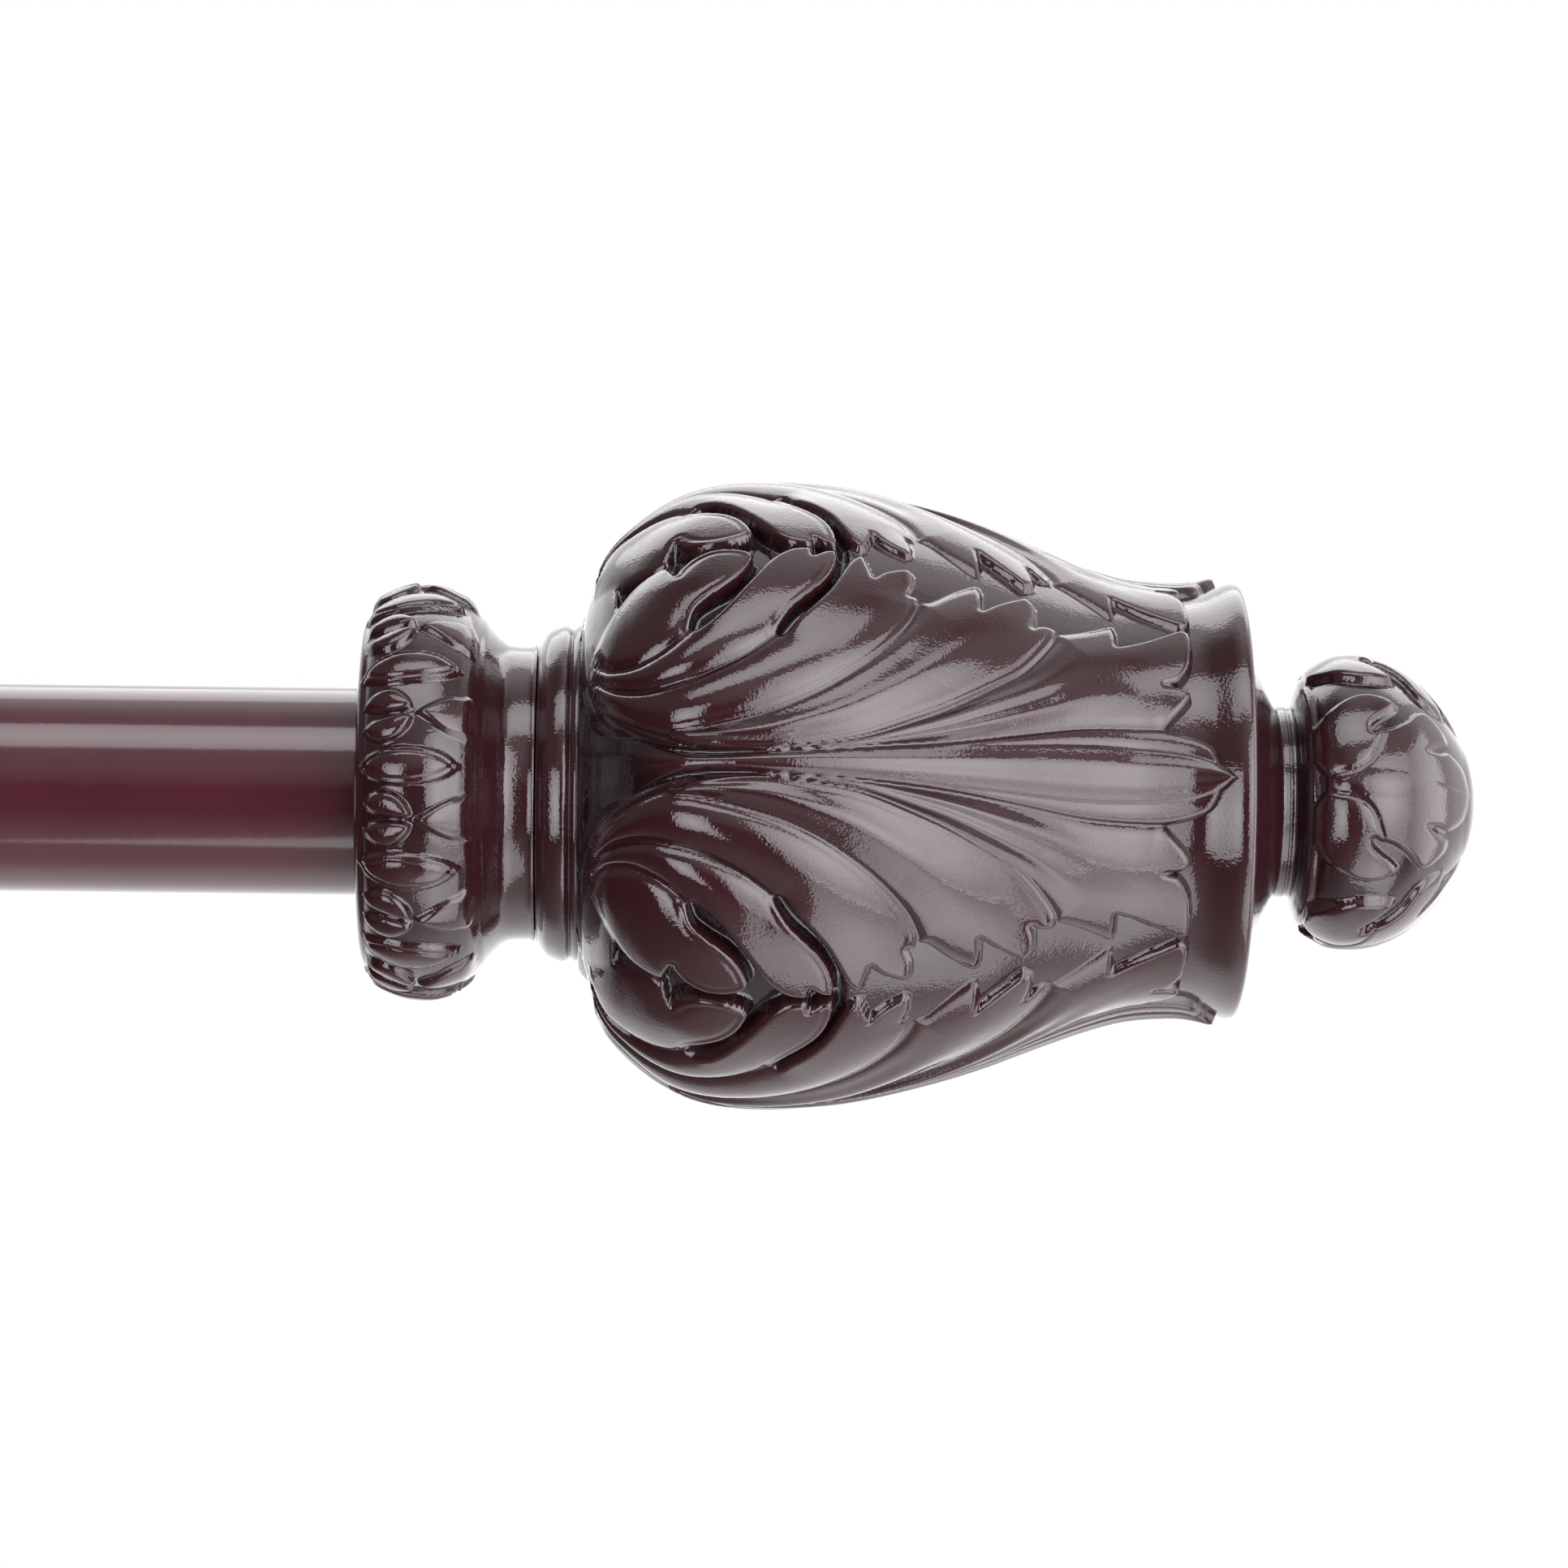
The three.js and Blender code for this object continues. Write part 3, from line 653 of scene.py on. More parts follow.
# Outside of the carved urn, and its plain ground below the leaves, as (station, radius) in mm.
URN_OUTSIDE = [(26.4, 21.3), (26.7, 22.8), (27.4, 25.2), (28.6, 27.6), (30, 29.8), (32, 31.8), (35.8, 34.7),
               (39.5, 36.6), (44, 37.7), (50, 38.1), (56, 37.8), (62, 36.9), (70, 34.9), (76, 33),
               (82, 30.7), (88, 28.5), (93, 27.1), (98, 26.6), (101, 26.7), (104.6, 27.4)]
URN_FOOT = [(26.4, 20.9), (28, 21.3), (30, 22.6), (32, 24.9), (34, 27.6), (36, 30.4), (38.2, 33.2)]
URN_LIP = [(92, 25.4), (96, 24.95), (99.5, 24.75), (101.5, 25.1), (103.4, 25.95), (104.6, 26.5),
           (105.4, 26.75)]
LEAF_FLOOR = 0.5  # mm by which the leaves' uncarved skin lies below the ground of the core


def radius_along(points):
    """Radius as a function of station, along a smooth line through points."""
    line = catmull(points)
    return lambda stations: np.interp(stations, line[:, 0], line[:, 1])


def ground_along():
    """Radius of the plain ground below the leaves along the urn: foot, swelling and flared lip."""
    depth = bpy.context.scene.curtain_finial.ground_depth / MM
    outside = radius_along(URN_OUTSIDE)
    swelling = [(x, float(outside(x)) - depth) for x in range(41, 90, 4)]
    return radius_along([*URN_FOOT, *swelling, *URN_LIP])


def carve(mesh, radius, shapes, period, floor, reach):
    """Moves a spun mesh's skin in or out to its carved height, and records how deep each point lies, for the
    painted shade in the hollows.
    """
    count = len(mesh.vertices)
    flat = np.empty(count * 3)
    mesh.vertices.foreach_get("co", flat)
    co = flat.reshape(-1, 3)
    r = np.hypot(co[:, 1], co[:, 2])
    angle = np.degrees(np.arctan2(co[:, 2], -co[:, 1]))
    inside_period = np.mod(angle, period)
    half = np.minimum(inside_period, period - inside_period)
    top = radius(co[:, 0])
    skin = (np.abs(r - top) < reach) & (r > 0.01)

    def unroll(places):
        return np.column_stack([places[:, 0], np.radians(places[:, 1]) * radius(places[:, 0])])

    places = np.round(np.column_stack([co[skin, 0], half[skin]]), 4)
    places, back = np.unique(places, axis=0, return_inverse=True)
    height = np.full(len(places), -1e3)
    for shape in shapes:
        height = np.maximum(height, shape.height(places, unroll))
    lowest = floor(places[:, 0])
    height = np.maximum(height, lowest)[back.ravel()]
    new_r = top[skin] + height
    co[skin, 1] *= new_r / r[skin]
    co[skin, 2] *= new_r / r[skin]
    mesh.vertices.foreach_set("co", co.ravel())
    # How deep each point lies, as the share of painted shade that darkens the hollows.
    hollow = np.zeros(count)
    hollow[skin] = np.clip((-SHADE_FROM - height) / SHADE_RANGE, 0, 1)
    layer = mesh.attributes.new("hollow", "FLOAT", "POINT")
    layer.data.foreach_set("value", hollow)
    mesh.update()


def carved_cell(name, profile, steps, period, **carving):
    """One period of a carved ring: half of it spun from its profile and carved, then mirrored."""
    bm = spin_profile(profile, steps, math.radians(period / 2), use_merge=False)
    mesh = bpy.data.meshes.new(name)
    bm.to_mesh(mesh)
    carve(mesh, period=period, **carving)
    bm.clear()
    bm.from_mesh(mesh)
    mesh.transform(Matrix.Scale(-1, 4, (0, 0, 1)))
    bm.from_mesh(mesh)
    bmesh.ops.remove_doubles(bm, verts=bm.verts, dist=1e-3)
    bmesh.ops.recalc_face_normals(bm, faces=bm.faces)
    bm.to_mesh(mesh)
    bm.free()
    return mesh


def whole_ring(cell, count, turn):
    """A ring of equal cells, joined where they meet, its first cell turned up by some degrees."""
    bm = bmesh.new()
    step = Matrix.Rotation(2 * math.pi / count, 4, "X")
    cell.transform(Matrix.Rotation(-math.radians(turn), 4, "X"))
    for _ in range(count):
        bm.from_mesh(cell)
        cell.transform(step)
    bmesh.ops.remove_doubles(bm, verts=bm.verts, dist=2e-3)
    bmesh.ops.recalc_face_normals(bm, faces=bm.faces)
    bm.to_mesh(cell)
    bm.free()
    return cell


def leaf_mesh():
    """One acanthus leaf: a quarter shell of the urn, carved outside and closed behind."""
    settings = bpy.context.scene.curtain_finial
    outside = radius_along(URN_OUTSIDE)
    ground = ground_along()
    start, end, back = 26.45, 104.5, 19.0
    rows = np.linspace(start, end, settings.leaf_rows)
    mesh = carved_cell(
        "acanthus_leaf",
        closed([(x, float(outside(x))) for x in rows] + [(end, back), (start, back)]),
        settings.leaf_columns // 2,
        90.0,
        radius=outside,
        shapes=leaf_shapes(),
        floor=lambda u: ground(u) - outside(u) - LEAF_FLOOR,
        reach=1.0,
    )
    bm = bmesh.new()
    bm.from_mesh(mesh)
    open_edges = boundary(bm)
    bmesh.ops.holes_fill(bm, edges=open_edges, sides=0)
    bmesh.ops.recalc_face_normals(bm, faces=bm.faces)
    for edge in open_edges:
        edge.smooth = False
    bm.to_mesh(mesh)
    bm.free()
    return mesh


def make_leaves(side):
    """Four leaves round the urn, each a quarter turn from the next."""
    leaf = bpy.data.meshes.get("acanthus_leaf")
    if leaf is None:
        leaf = leaf_mesh()
    tilt = bpy.context.scene.curtain_finial.leaf_turn
    for quarter in range(4):
        turn = -tilt - quarter * math.pi / 2
        finish_finial_piece(side, f"urn_leaf_{quarter + 1}", leaf.copy(), "urn", turn=turn)


def make_urn_core(side):
    """The plain urn below the leaves: its foot, the rim, the recess for the end cap and the bore."""
    ground = ground_along()
    foot, rim = station("right_urn")
    cap_radius = node_radius("right_end_cap") + FIT
    recess = station("right_end_cap")[0] - FIT
    spigot = node_radius("right_socket") + FIT
    spigot_end = station("right_socket")[1] + FIT
    profile = [
        (foot, spigot), (foot, 20.7),
        *[(x, float(ground(x))) for x in np.linspace(foot + 0.15, rim - 0.95, 110)],
        (rim - 0.6, 26.68), (rim - 0.3, 26.4), (rim - 0.1, 26), (rim, 25.4),
        (rim, cap_radius + 0.5), (rim - 0.5, cap_radius), (recess, cap_radius),
        (recess, TIE_BORE), (spigot_end, TIE_BORE), (spigot_end, spigot),
    ]
    finish_finial_piece(side, "urn_body", spun(closed(profile), TURNED_STEPS), "urn", 40)


def collar_shapes():
    """Half a cell: a large oval at 0 degrees, a dart at 15 degrees, and an egg beside it."""
    oval = [(0.5, 0), (1.6, 2.9), (3.4, 4.7), (5.6, 5.4), (8.2, 5.0), (10.4, 3.8), (11.8, 2.0), (12.7, 0)]
    egg = [(1.2, 11.4), (2.2, 8.3), (3.8, 7.0), (5.4, 8.1), (6.6, 10.8), (7.1, 13.4)]
    egg_back = [(7.1, 13.4), (6, 14.5), (4, 14.4), (2.3, 13.4), (1.2, 11.4)]
    dart = [(7.4, 15), (8.6, 12.9), (10.2, 10.6), (11.6, 9), (12.6, 8.6), (13.4, 7.4), (14.2, 7.2)]
    return [
        Shape([("bead", side) for side in mirrored_outline(oval)], level=-0.3, crown=0.35),
        Shape([("crisp", egg), ("crisp", egg_back)], level=-0.4, crown=0.5),
        Shape(
            [("edge", dart), ("edge", [(14.2, 7.2), (14.5, 11), (14.4, 15), (14.4, 22)]),
             ("none", [(14.4, 22), (8, 22), (7.4, 15)])],
            level=-0.4, crown=0.3,
        ),
    ]


COLLAR_OUTSIDE = [(0, 19.4), (0.5, 21.3), (1.3, 22.8), (2.5, 24), (4.9, 25.1), (7.2, 25.5), (9.6, 25.4),
                  (12, 24.5), (13.2, 23.8), (14.4, 22.4), (15.4, 20.6), (16.6, 19.2), (17.5, 18.4),
                  (18.3, 18.05), (19.7, 17.95), (20.8, 18), (21.3, 18.3)]


def make_collar(side):
    """The carved collar, with its flat face against the rod and a cove behind the carving."""
    outside = radius_along(COLLAR_OUTSIDE)
    length = station("right_collar")[1]
    # Rows are close together where the carving is, and far apart in the cove.
    rows = [np.linspace(0, 0.6, 4), np.linspace(0.75, 15.2, 88), np.linspace(15.6, 21.3, 16)]
    skin = [(x, float(outside(x))) for x in np.concatenate(rows)[1:]]
    mesh = carved_cell(
        f"{side}_carved_collar",
        closed([(0, COLLAR_BORE), (0, 18.6), *skin, (length, COLLAR_BORE)]),
        30,
        30.0,
        radius=outside,
        shapes=collar_shapes(),
        floor=lambda u: -np.interp(u, [0.4, 1.2, 13, 14.6, 15.2], [0, 1.0, 1.0, 0.6, 0]),
        reach=0.05,
    )
    finish_finial_piece(side, "carved_collar", whole_ring(mesh, 12, 7.5), "collar")


def bud_shapes():
    """Half a cell, from a leaf's midrib at 0 degrees to the fold at 45 degrees."""
    crease = [(116.4, 3.4), (119.1, 5.2), (120.8, 8), (121.8, 12), (122.5, 18), (123, 23)]
    vein = [(117.4, 1.6), (119, 3.6), (120.4, 5.3), (121.8, 6.4), (124.5, 6.7), (127, 5.8), (129.5, 4.4),
            (132, 2.9), (134.1, 1.4), (134.7, 0)]
    return [
        Shape([("crisp", side) for side in mirrored_outline(vein)], level=-0.2, crown=0.2),
        Shape(
            [
                ("crisp", crease),
                ("edge", [(123, 23), (124.4, 25), (126.1, 30), (127.1, 35.5)]),
                ("edge", [(127.1, 35.5), (128, 39.2), (129.3, 40.8), (131, 38), (131.4, 33.5),
                          (131.3, 30)]),
                ("edge", [(131.3, 30), (130, 24), (128.8, 18.5)]),
                ("edge", [(128.8, 18.5), (130.4, 20.5), (131.6, 25)]),
                ("edge", [(131.6, 25), (133, 24.5), (133.9, 21.5), (134.5, 12), (134.8, 0), (134.8, -8)]),
                ("none", [(134.8, -8), (116.4, -8), (116.4, 3.4)]),
            ],
            level=-0.15, crown=0.0,
        ),
        Shape(
            [
                ("crisp", crease[::-1]),
                ("none", [(116.4, 3.4), (114.8, 10), (114.8, 28)]),
                ("edge", [(114.8, 28), (116.4, 33), (118.4, 37.2), (120.6, 40), (123, 39.6), (124.7, 37.4),
                          (124.8, 35)]),
                ("edge", [(124.8, 35), (123.9, 31.4), (122.5, 27.4), (121.6, 24.2), (121.7, 21.4),
                          (123, 23)]),
            ],
            level=-0.2, crown=0.25,
        ),
    ]

# Neck and swelling of the bud, as (distance from its node's start, radius) in mm.
BUD_OUTSIDE = [(0, 11.7), (0.9, 11.7), (1.35, 13.2), (2.1, 15.2), (3.3, 16.5), (5.7, 17.8), (8, BUD_RADIUS),
               (10.4, 18), (12.8, 17.3), (15.2, 16), (17.6, 13.9), (19.9, 11.1), (22.3, 7)]


def make_bud(side):
    """The carved bud at the finial's tip."""
    start, end = station("right_bud")
    line = catmull([*moved_along(BUD_OUTSIDE, start), (end - 0.5, 3), (end, 0)], 11)
    line[:, 1] = np.clip(line[:, 1], 0, BUD_RADIUS)
    line[:, 0] = np.maximum.accumulate(line[:, 0] + np.arange(len(line)) * 1e-6)
    mesh = carved_cell(
        f"{side}_carved_bud",
        [(start, 0), *[tuple(p) for p in line[:-1]], (line[-1, 0], 0)],
        50,
        90.0,
        radius=lambda u: np.interp(u, line[:, 0], line[:, 1]),
        shapes=bud_shapes(),
        floor=lambda u: -np.interp(u, [114, 115.4, 130, 134, 135.4], [0, 1.2, 1.2, 0.6, 0]),
        reach=0.02,
    )
    finish_finial_piece(side, "carved_bud", whole_ring(mesh, 4, 8.0), "bud")


def make_neck_ring(side):
    """The double bead between collar and urn."""
    start, end = station("right_neck_ring")
    start -= LAP
    end += LAP
    bead = [(0, 18.3), (0.5, 19.1), (1.1, 19.8), (1.8, 20.2), (2.6, 20.5), (3.3, 20.6), (3.8, 20.4),
            (4.05, 20.1), (4.3, 20.35), (4.8, 20.6), (5.3, 20.5)]
    outside = catmull([*moved_along(bead, start), (end, 20.6)], 5)
    profile = [(start, COLLAR_BORE), *[tuple(p) for p in outside], (end, COLLAR_BORE)]
    finish_finial_piece(side, "neck_bead", spun(closed(profile), TURNED_STEPS), "neck_ring", 50)


def make_end_cap(side):
    """The domed cap in the urn's rim, stepped up to the bud's neck."""
    start, end = station("right_end_cap")
    end += LAP
    edge = start + 2.4
    radius = node_radius("right_end_cap")
    steps = [(0, radius - 0.6), (1.2, 19.9), (2.2, 17.7), (2.9, 16.3), (3.7, 14.6), (4.7, 12.4),
             (5.2, 11.8)]
    dome = catmull([*moved_along(steps, edge), (end, 11.7)], 5)
    profile = [(start, TIE_BORE), (start, radius), (edge - 0.6, radius), *[tuple(p) for p in dome],
               (end, TIE_BORE)]
    finish_finial_piece(side, "domed_cap", spun(closed(profile), TURNED_STEPS), "end_cap", 45)


def make_set_screw(side):
    """A socket set screw: a chamfered stub with a hexagonal key hole in its outer end."""
    low, high = node_box(f"{side}_set_screw")
    centre = (low + high) / 2
    radius = (high.y - low.y) / 2
    length = high.z - low.z
    key, key_depth, sixth = 1.15, 2.2, math.pi / 3
    bm = spun([(0, 0), (0, radius - 0.5), (0.5, radius), (length - 0.5, radius), (length, radius - 0.5),
               (length, key + 0.2)], 48)
    for v in new_verts(bmesh.ops.extrude_edge_only(bm, edges=boundary(bm))):
        angle = math.atan2(v.co.z, v.co.y)
        across = (angle + sixth / 2) % sixth - sixth / 2
        reach = key * math.cos(sixth / 2) / math.cos(across)
        v.co.y = reach * math.cos(angle)
        v.co.z = reach * math.sin(angle)
    sunk = bmesh.ops.extrude_edge_only(bm, edges=boundary(bm))
    bmesh.ops.translate(bm, vec=(-key_depth, 0, 0), verts=new_verts(sunk))
    bmesh.ops.holes_fill(bm, edges=boundary(bm), sides=0)
    bmesh.ops.recalc_face_normals(bm, faces=bm.faces)
    finish_piece(f"{side}_socket_set_screw", bm, place_at(centre.x, centre.y, high.z, math.pi / 2), zinc(),
                 f"{side}_finial_lock", "fastener_steel", f"{side}_set_screw")


# ---------------------------------------------------------------- rod


def make_tube(name, node, body):
    """A drawn tube with slightly rounded ends."""
    low, high = node_box(node)
    radius = node_radius(node)
    bore = radius - TUBE_WALL
    r = bpy.context.scene.curtain_rod.edge_radius / MM
    profile = closed([
        (low.x, bore + r), (low.x, radius - r), (low.x + r, radius), (high.x - r, radius),
        (high.x, radius - r), (high.x, bore + r), (high.x - r, bore), (low.x + r, bore),
    ])
    place = place_at(0, ROD_Y, 0)
    finish_piece(name, spun(profile, 96), place, tube_paint(), body, "tube_paint", node, 30)


def make_mouth_bush():
    """The flanged liner at the outer tube's mouth, its lip rounded where the inner tube comes out."""
    low, high = node_box("mouth_bush")
    hole = node_radius("inner_tube") + 0.15
    lip = TUBE_LOW.x - low.x
    bush = ROD_RADIUS - TUBE_WALL - 0.25
    flange = [(0, hole + 0.35), (0.1, ROD_RADIUS - 0.7), (0.35, ROD_RADIUS - 0.25), (0.8, ROD_RADIUS)]
    behind = [(lip - 0.45, ROD_RADIUS), (lip - 0.3, ROD_RADIUS - 0.15), (lip - 0.3, bush)]
    profile = closed([
        *moved_along(flange + behind, low.x), (high.x, bush), (high.x, hole), (low.x + 0.35, hole),
    ])
    place = place_at(0, ROD_Y, 0)
    finish_piece("mouth_liner", spun(profile, 96), place, nylon(), "rod", "bush_nylon", "mouth_bush", 30)


# ---------------------------------------------------------------- brackets


def make_wall_plate(side):
    """A plate against the wall, with half-round ends and a rounded front edge."""
    low, high = node_box(f"{side}_wall_plate")
    width = high.x - low.x
    spread = (high.z - low.z - width) / 2
    front = -(high.y - low.y)
    bm = bmesh.new()
    disc = bmesh.ops.create_circle(bm, cap_ends=True, radius=width / 2, segments=96)["verts"]
    for v in disc:
        v.co.y += math.copysign(spread, v.co.y) if abs(v.co.y) > 1e-6 else 0
    bmesh.ops.rotate(bm, verts=bm.verts, cent=(0, 0, 0), matrix=Matrix.Rotation(math.pi / 2, 3, "X"))
    out = bmesh.ops.extrude_face_region(bm, geom=bm.faces[:])
    bmesh.ops.translate(bm, vec=(0, front, 0), verts=new_verts(out))
    bmesh.ops.recalc_face_normals(bm, faces=bm.faces)
    rim = [e for e in bm.edges if all(abs(v.co.y - front) < 1e-4 for v in e.verts) and len(e.link_faces) == 2]
    bevel_edges(bm, rim, 0.9, 4)
    place = place_at((low.x + high.x) / 2, 0, 0)
    finish_bracket_piece(f"{side}_pressed_plate", bm, place, "wall_mounts", f"{side}_wall_plate")


def box_between(low, high):
    bm = bmesh.new()
    verts = bmesh.ops.create_cube(bm, size=1)["verts"]
    bmesh.ops.scale(bm, vec=high - low, verts=verts)
    bmesh.ops.translate(bm, vec=(low + high) / 2, verts=verts)
    return bm


def make_arm_socket(side):
    """The square arm socket: a folded tube with rounded corners, open at both ends."""
    low, high = node_box(f"{side}_arm_socket")
    half = (high.x - low.x) / 2
    bore = 5.3
    bm = box_between(Vector((-half, low.y, -half)), Vector((half, high.y, half)))
    long_edges = [e for e in bm.edges if abs((e.verts[0].co - e.verts[1].co).normalized().y) > 0.9]
    bevel_edges(bm, long_edges, 1.6, 5)
    ends = [f for f in bm.faces if abs(f.normal.y) > 0.9]
    bmesh.ops.inset_region(bm, faces=ends, thickness=half - bore, use_even_offset=True)
    bmesh.ops.bridge_loops(bm, edges=[e for f in ends for e in f.edges])
    bmesh.ops.delete(bm, geom=ends, context="FACES_ONLY")
    bmesh.ops.recalc_face_normals(bm, faces=bm.faces)
    place = place_at((low.x + high.x) / 2, 0, 0)
    finish_bracket_piece(f"{side}_folded_socket", bm, place, "wall_mounts", f"{side}_arm_socket")


def make_boss(name, centre, top, height, body, node):
    """A threaded boss under a bracket: a turned ring with a chamfered mouth."""
    radius, bore = 5.5, 2.8
    bm = spun(closed([
        (0, bore), (0, radius), (height - 0.6, radius), (height, radius - 0.6), (height, bore + 0.4),
        (height - 0.4, bore),
    ]), 64)
    finish_bracket_piece(name, bm, place_at(centre.x, centre.y, top, math.pi / 2), body, node)


def make_arm_bar(side):
    """The square bar that slides in the arm socket."""
    bm = box_between(*node_box(f"{side}_arm_bar"))
    bevel_sharp(bm, 0.9, 4)
    finish_bracket_piece(f"{side}_square_bar", bm, place_at(0, 0, 0), f"{side}_arm", f"{side}_arm_bar")


def make_cradle(side):
    """A U-shaped strap, formed round the rod, its free ends rounded over."""
    low, high = node_box(f"{side}_cradle")
    inner = ROD_RADIUS + 0.4
    half = (high.x - low.x) / 2
    back, front = 9.0, 5.0
    arc = [(-math.cos(math.pi * i / 48), -math.sin(math.pi * i / 48)) for i in range(49)]
    bm = bmesh.new()
    rows = []
    for radius in (inner, inner + 3):
        points = [(-radius, front), *[(y * radius, z * radius) for y, z in arc], (radius, back)]
        rows.append([bm.verts.new((-half, y, z)) for y, z in points])
    for a, b, c, d in zip(rows[0], rows[0][1:], rows[1][1:], rows[1]):
        bm.faces.new((a, b, c, d))
    out = bmesh.ops.extrude_face_region(bm, geom=bm.faces[:])
    bmesh.ops.translate(bm, vec=(2 * half, 0, 0), verts=new_verts(out))
    bmesh.ops.recalc_face_normals(bm, faces=bm.faces)
    corners = [
        e for e in bm.edges
        if abs((e.verts[0].co - e.verts[1].co).x) < 1e-4
        and all(abs(v.co.z - front) < 1e-3 or abs(v.co.z - back) < 1e-3 for v in e.verts)
    ]
    bevel_edges(bm, corners, 4.0, 8)
    bevel_sharp(bm, 0.6, 3, 40)
    place = place_at((low.x + high.x) / 2, ROD_Y, 0)
    finish_bracket_piece(f"{side}_formed_cradle", bm, place, f"{side}_arm", f"{side}_cradle")


def make_cradle_pad(side):
    """The flat behind the cradle that the arm bar butts against."""
    bar_end = node_box(f"{side}_arm_bar")[0].y
    centre_x = node_centre(f"{side}_arm_bar").x
    low = Vector((centre_x - 5, ROD_Y + ROD_RADIUS + 1.6, -5))
    high = Vector((centre_x + 5, bar_end - 0.3, 5))
    bm = box_between(low, high)
    bevel_sharp(bm, 0.5, 3)
    finish_bracket_piece(f"{side}_cradle_pad", bm, place_at(0, 0, 0), f"{side}_arm", f"{side}_cradle")


def make_thumbscrew(side, kind):
    """A thumbscrew with a knurled head and a chamfered shank, its thread drawn as plain rings."""
    node = f"{side}_{kind}_thumbscrew"
    low, high = node_box(node)
    centre = (low + high) / 2
    radius = (high.x - low.x) / 2
    length = high.z - low.z
    head, shank, pitch, knurl_depth = 6.0, 2.5, 0.8, 0.32
    under = length - head
    ridges = bpy.context.scene.curtain_bracket.knurl_ridges
    profile = [(0, 0), (0, shank - 0.7), (0.6, shank - 0.05)]
    for turn in range(int((under - 0.8) / pitch)):
        at = 0.8 + turn * pitch
        profile += [(at + 0.1, shank), (at + 0.35, shank - 0.35), (at + 0.6, shank)]
    profile += moved_along([(0, shank), (0, radius - 2), (0.4, radius - 1.2), (1.1, radius - 0.25),
                            (1.6, radius)], under)
    profile += [(length - 1, radius), (length - 0.35, radius - 0.35), (length, radius - 1), (length, 2.6),
                (length - 0.6, 2.1), (length - 0.6, 0)]
    bm = spun(profile, ridges * 4)
    for v in bm.verts:
        r = math.hypot(v.co.y, v.co.z)
        if r > radius - 0.5 and under + 1.4 < v.co.x < length - 0.6:
            wave = 0.5 - 0.5 * math.cos(ridges * math.atan2(v.co.z, v.co.y))
            shrink = 1 - knurl_depth * wave / r
            v.co.y *= shrink
            v.co.z *= shrink
    place = place_at(centre.x, centre.y, high.z, math.pi / 2)
    finish_bracket_piece(f"{side}_{kind}_knurled_screw", bm, place, f"{side}_{kind}_lock", node, 25)


def cross_recess(bm, face_x, radius, depth, half_width=0.62):
    """Sinks a cross into the flat end of a turned head, deepest at its middle."""
    for v in bm.verts:
        r = math.hypot(v.co.y, v.co.z)
        on_face = v.co.x >= face_x - 0.01 and r <= radius
        if on_face and min(abs(v.co.y), abs(v.co.z)) < half_width:
            v.co.x -= depth * (1 - r / radius) ** 0.5


def make_wall_screw(side, height):
    """A pan-head wood screw: domed head with a cross recess, threaded shank and a point in the wall."""
    node = f"{side}_{height}_wall_screw"
    low, high = node_box(node)
    centre = (low + high) / 2
    head = (high.x - low.x) / 2
    length = high.y - low.y
    shank, head_height, plain_shank, pitch, flat = 2.2, 2.6, 9, 1.6, 1.9
    seat = length - head_height
    profile = [(0, 0), (1.2, 0.5)]
    at = 2.4
    while at < seat - plain_shank:
        core = min(shank - 0.6, 0.5 + at * 0.25)
        crest = min(shank, 1.0 + at * 0.3)
        profile += [(at, core), (at + pitch * 0.3, crest), (at + pitch * 0.6, core)]
        at += pitch
    profile += [(at, shank - 0.1), (seat, shank - 0.1), (seat, head), (seat + 0.5, head)]
    for t in (0.35, 0.7, 1.05, 1.35):
        profile.append((seat + 0.5 + 2.1 * math.sin(t), head * (0.42 + 0.58 * math.cos(t))))
    profile += [(length, flat - 0.19 * i) for i in range(10)] + [(length, 0)]
    bm = spun(profile, 96)
    cross_recess(bm, length, flat, 1.3)
    place = place_at(centre.x, high.y, centre.z, -math.pi / 2, "Z")
    finish_bracket_piece(f"{side}_{height}_pan_screw", bm, place, "wall_mounts", node)


# ---------------------------------------------------------------- operators


class CURTAIN_OT_tubes(bpy.types.Operator):
    """Make both tubes and the liner at the outer tube's mouth"""

    bl_idname = "curtain.tubes"
    bl_label = "Tubes"

    def execute(self, context):
        make_tube("outer_drawn_tube", "outer_tube", "rod")
        make_tube("inner_drawn_tube", "inner_tube", "inner_rod")
        make_mouth_bush()
        return {"FINISHED"}


class CURTAIN_OT_finials(bpy.types.Operator):
    """Make both carved finials"""

    bl_idname = "curtain.finials"
    bl_label = "Finials"

    def execute(self, context):
        for side in SIDES:
            make_collar(side)
            make_neck_ring(side)
            make_urn_core(side)
            make_leaves(side)
            make_end_cap(side)
            make_bud(side)
            make_set_screw(side)
        return {"FINISHED"}


class CURTAIN_OT_brackets(bpy.types.Operator):
    """Make both wall brackets with their screws"""

    bl_idname = "curtain.brackets"
    bl_label = "Brackets"

    def execute(self, context):
        for side in SIDES:
            make_wall_plate(side)
            make_arm_socket(side)
            make_arm_bar(side)
            make_cradle(side)
            make_cradle_pad(side)
            arm_lock = node_centre(f"{side}_arm_thumbscrew")
            make_boss(f"{side}_arm_boss", arm_lock, -5.4, 5.3, "wall_mounts", f"{side}_arm_socket")
            rod_lock = node_centre(f"{side}_rod_thumbscrew")
            make_boss(f"{side}_rod_boss", rod_lock, -ROD_RADIUS - 2, 4.4, f"{side}_arm", f"{side}_cradle")
            for kind in ("arm", "rod"):
                make_thumbscrew(side, kind)
            for height in ("upper", "lower"):
                make_wall_screw(side, height)
        return {"FINISHED"}


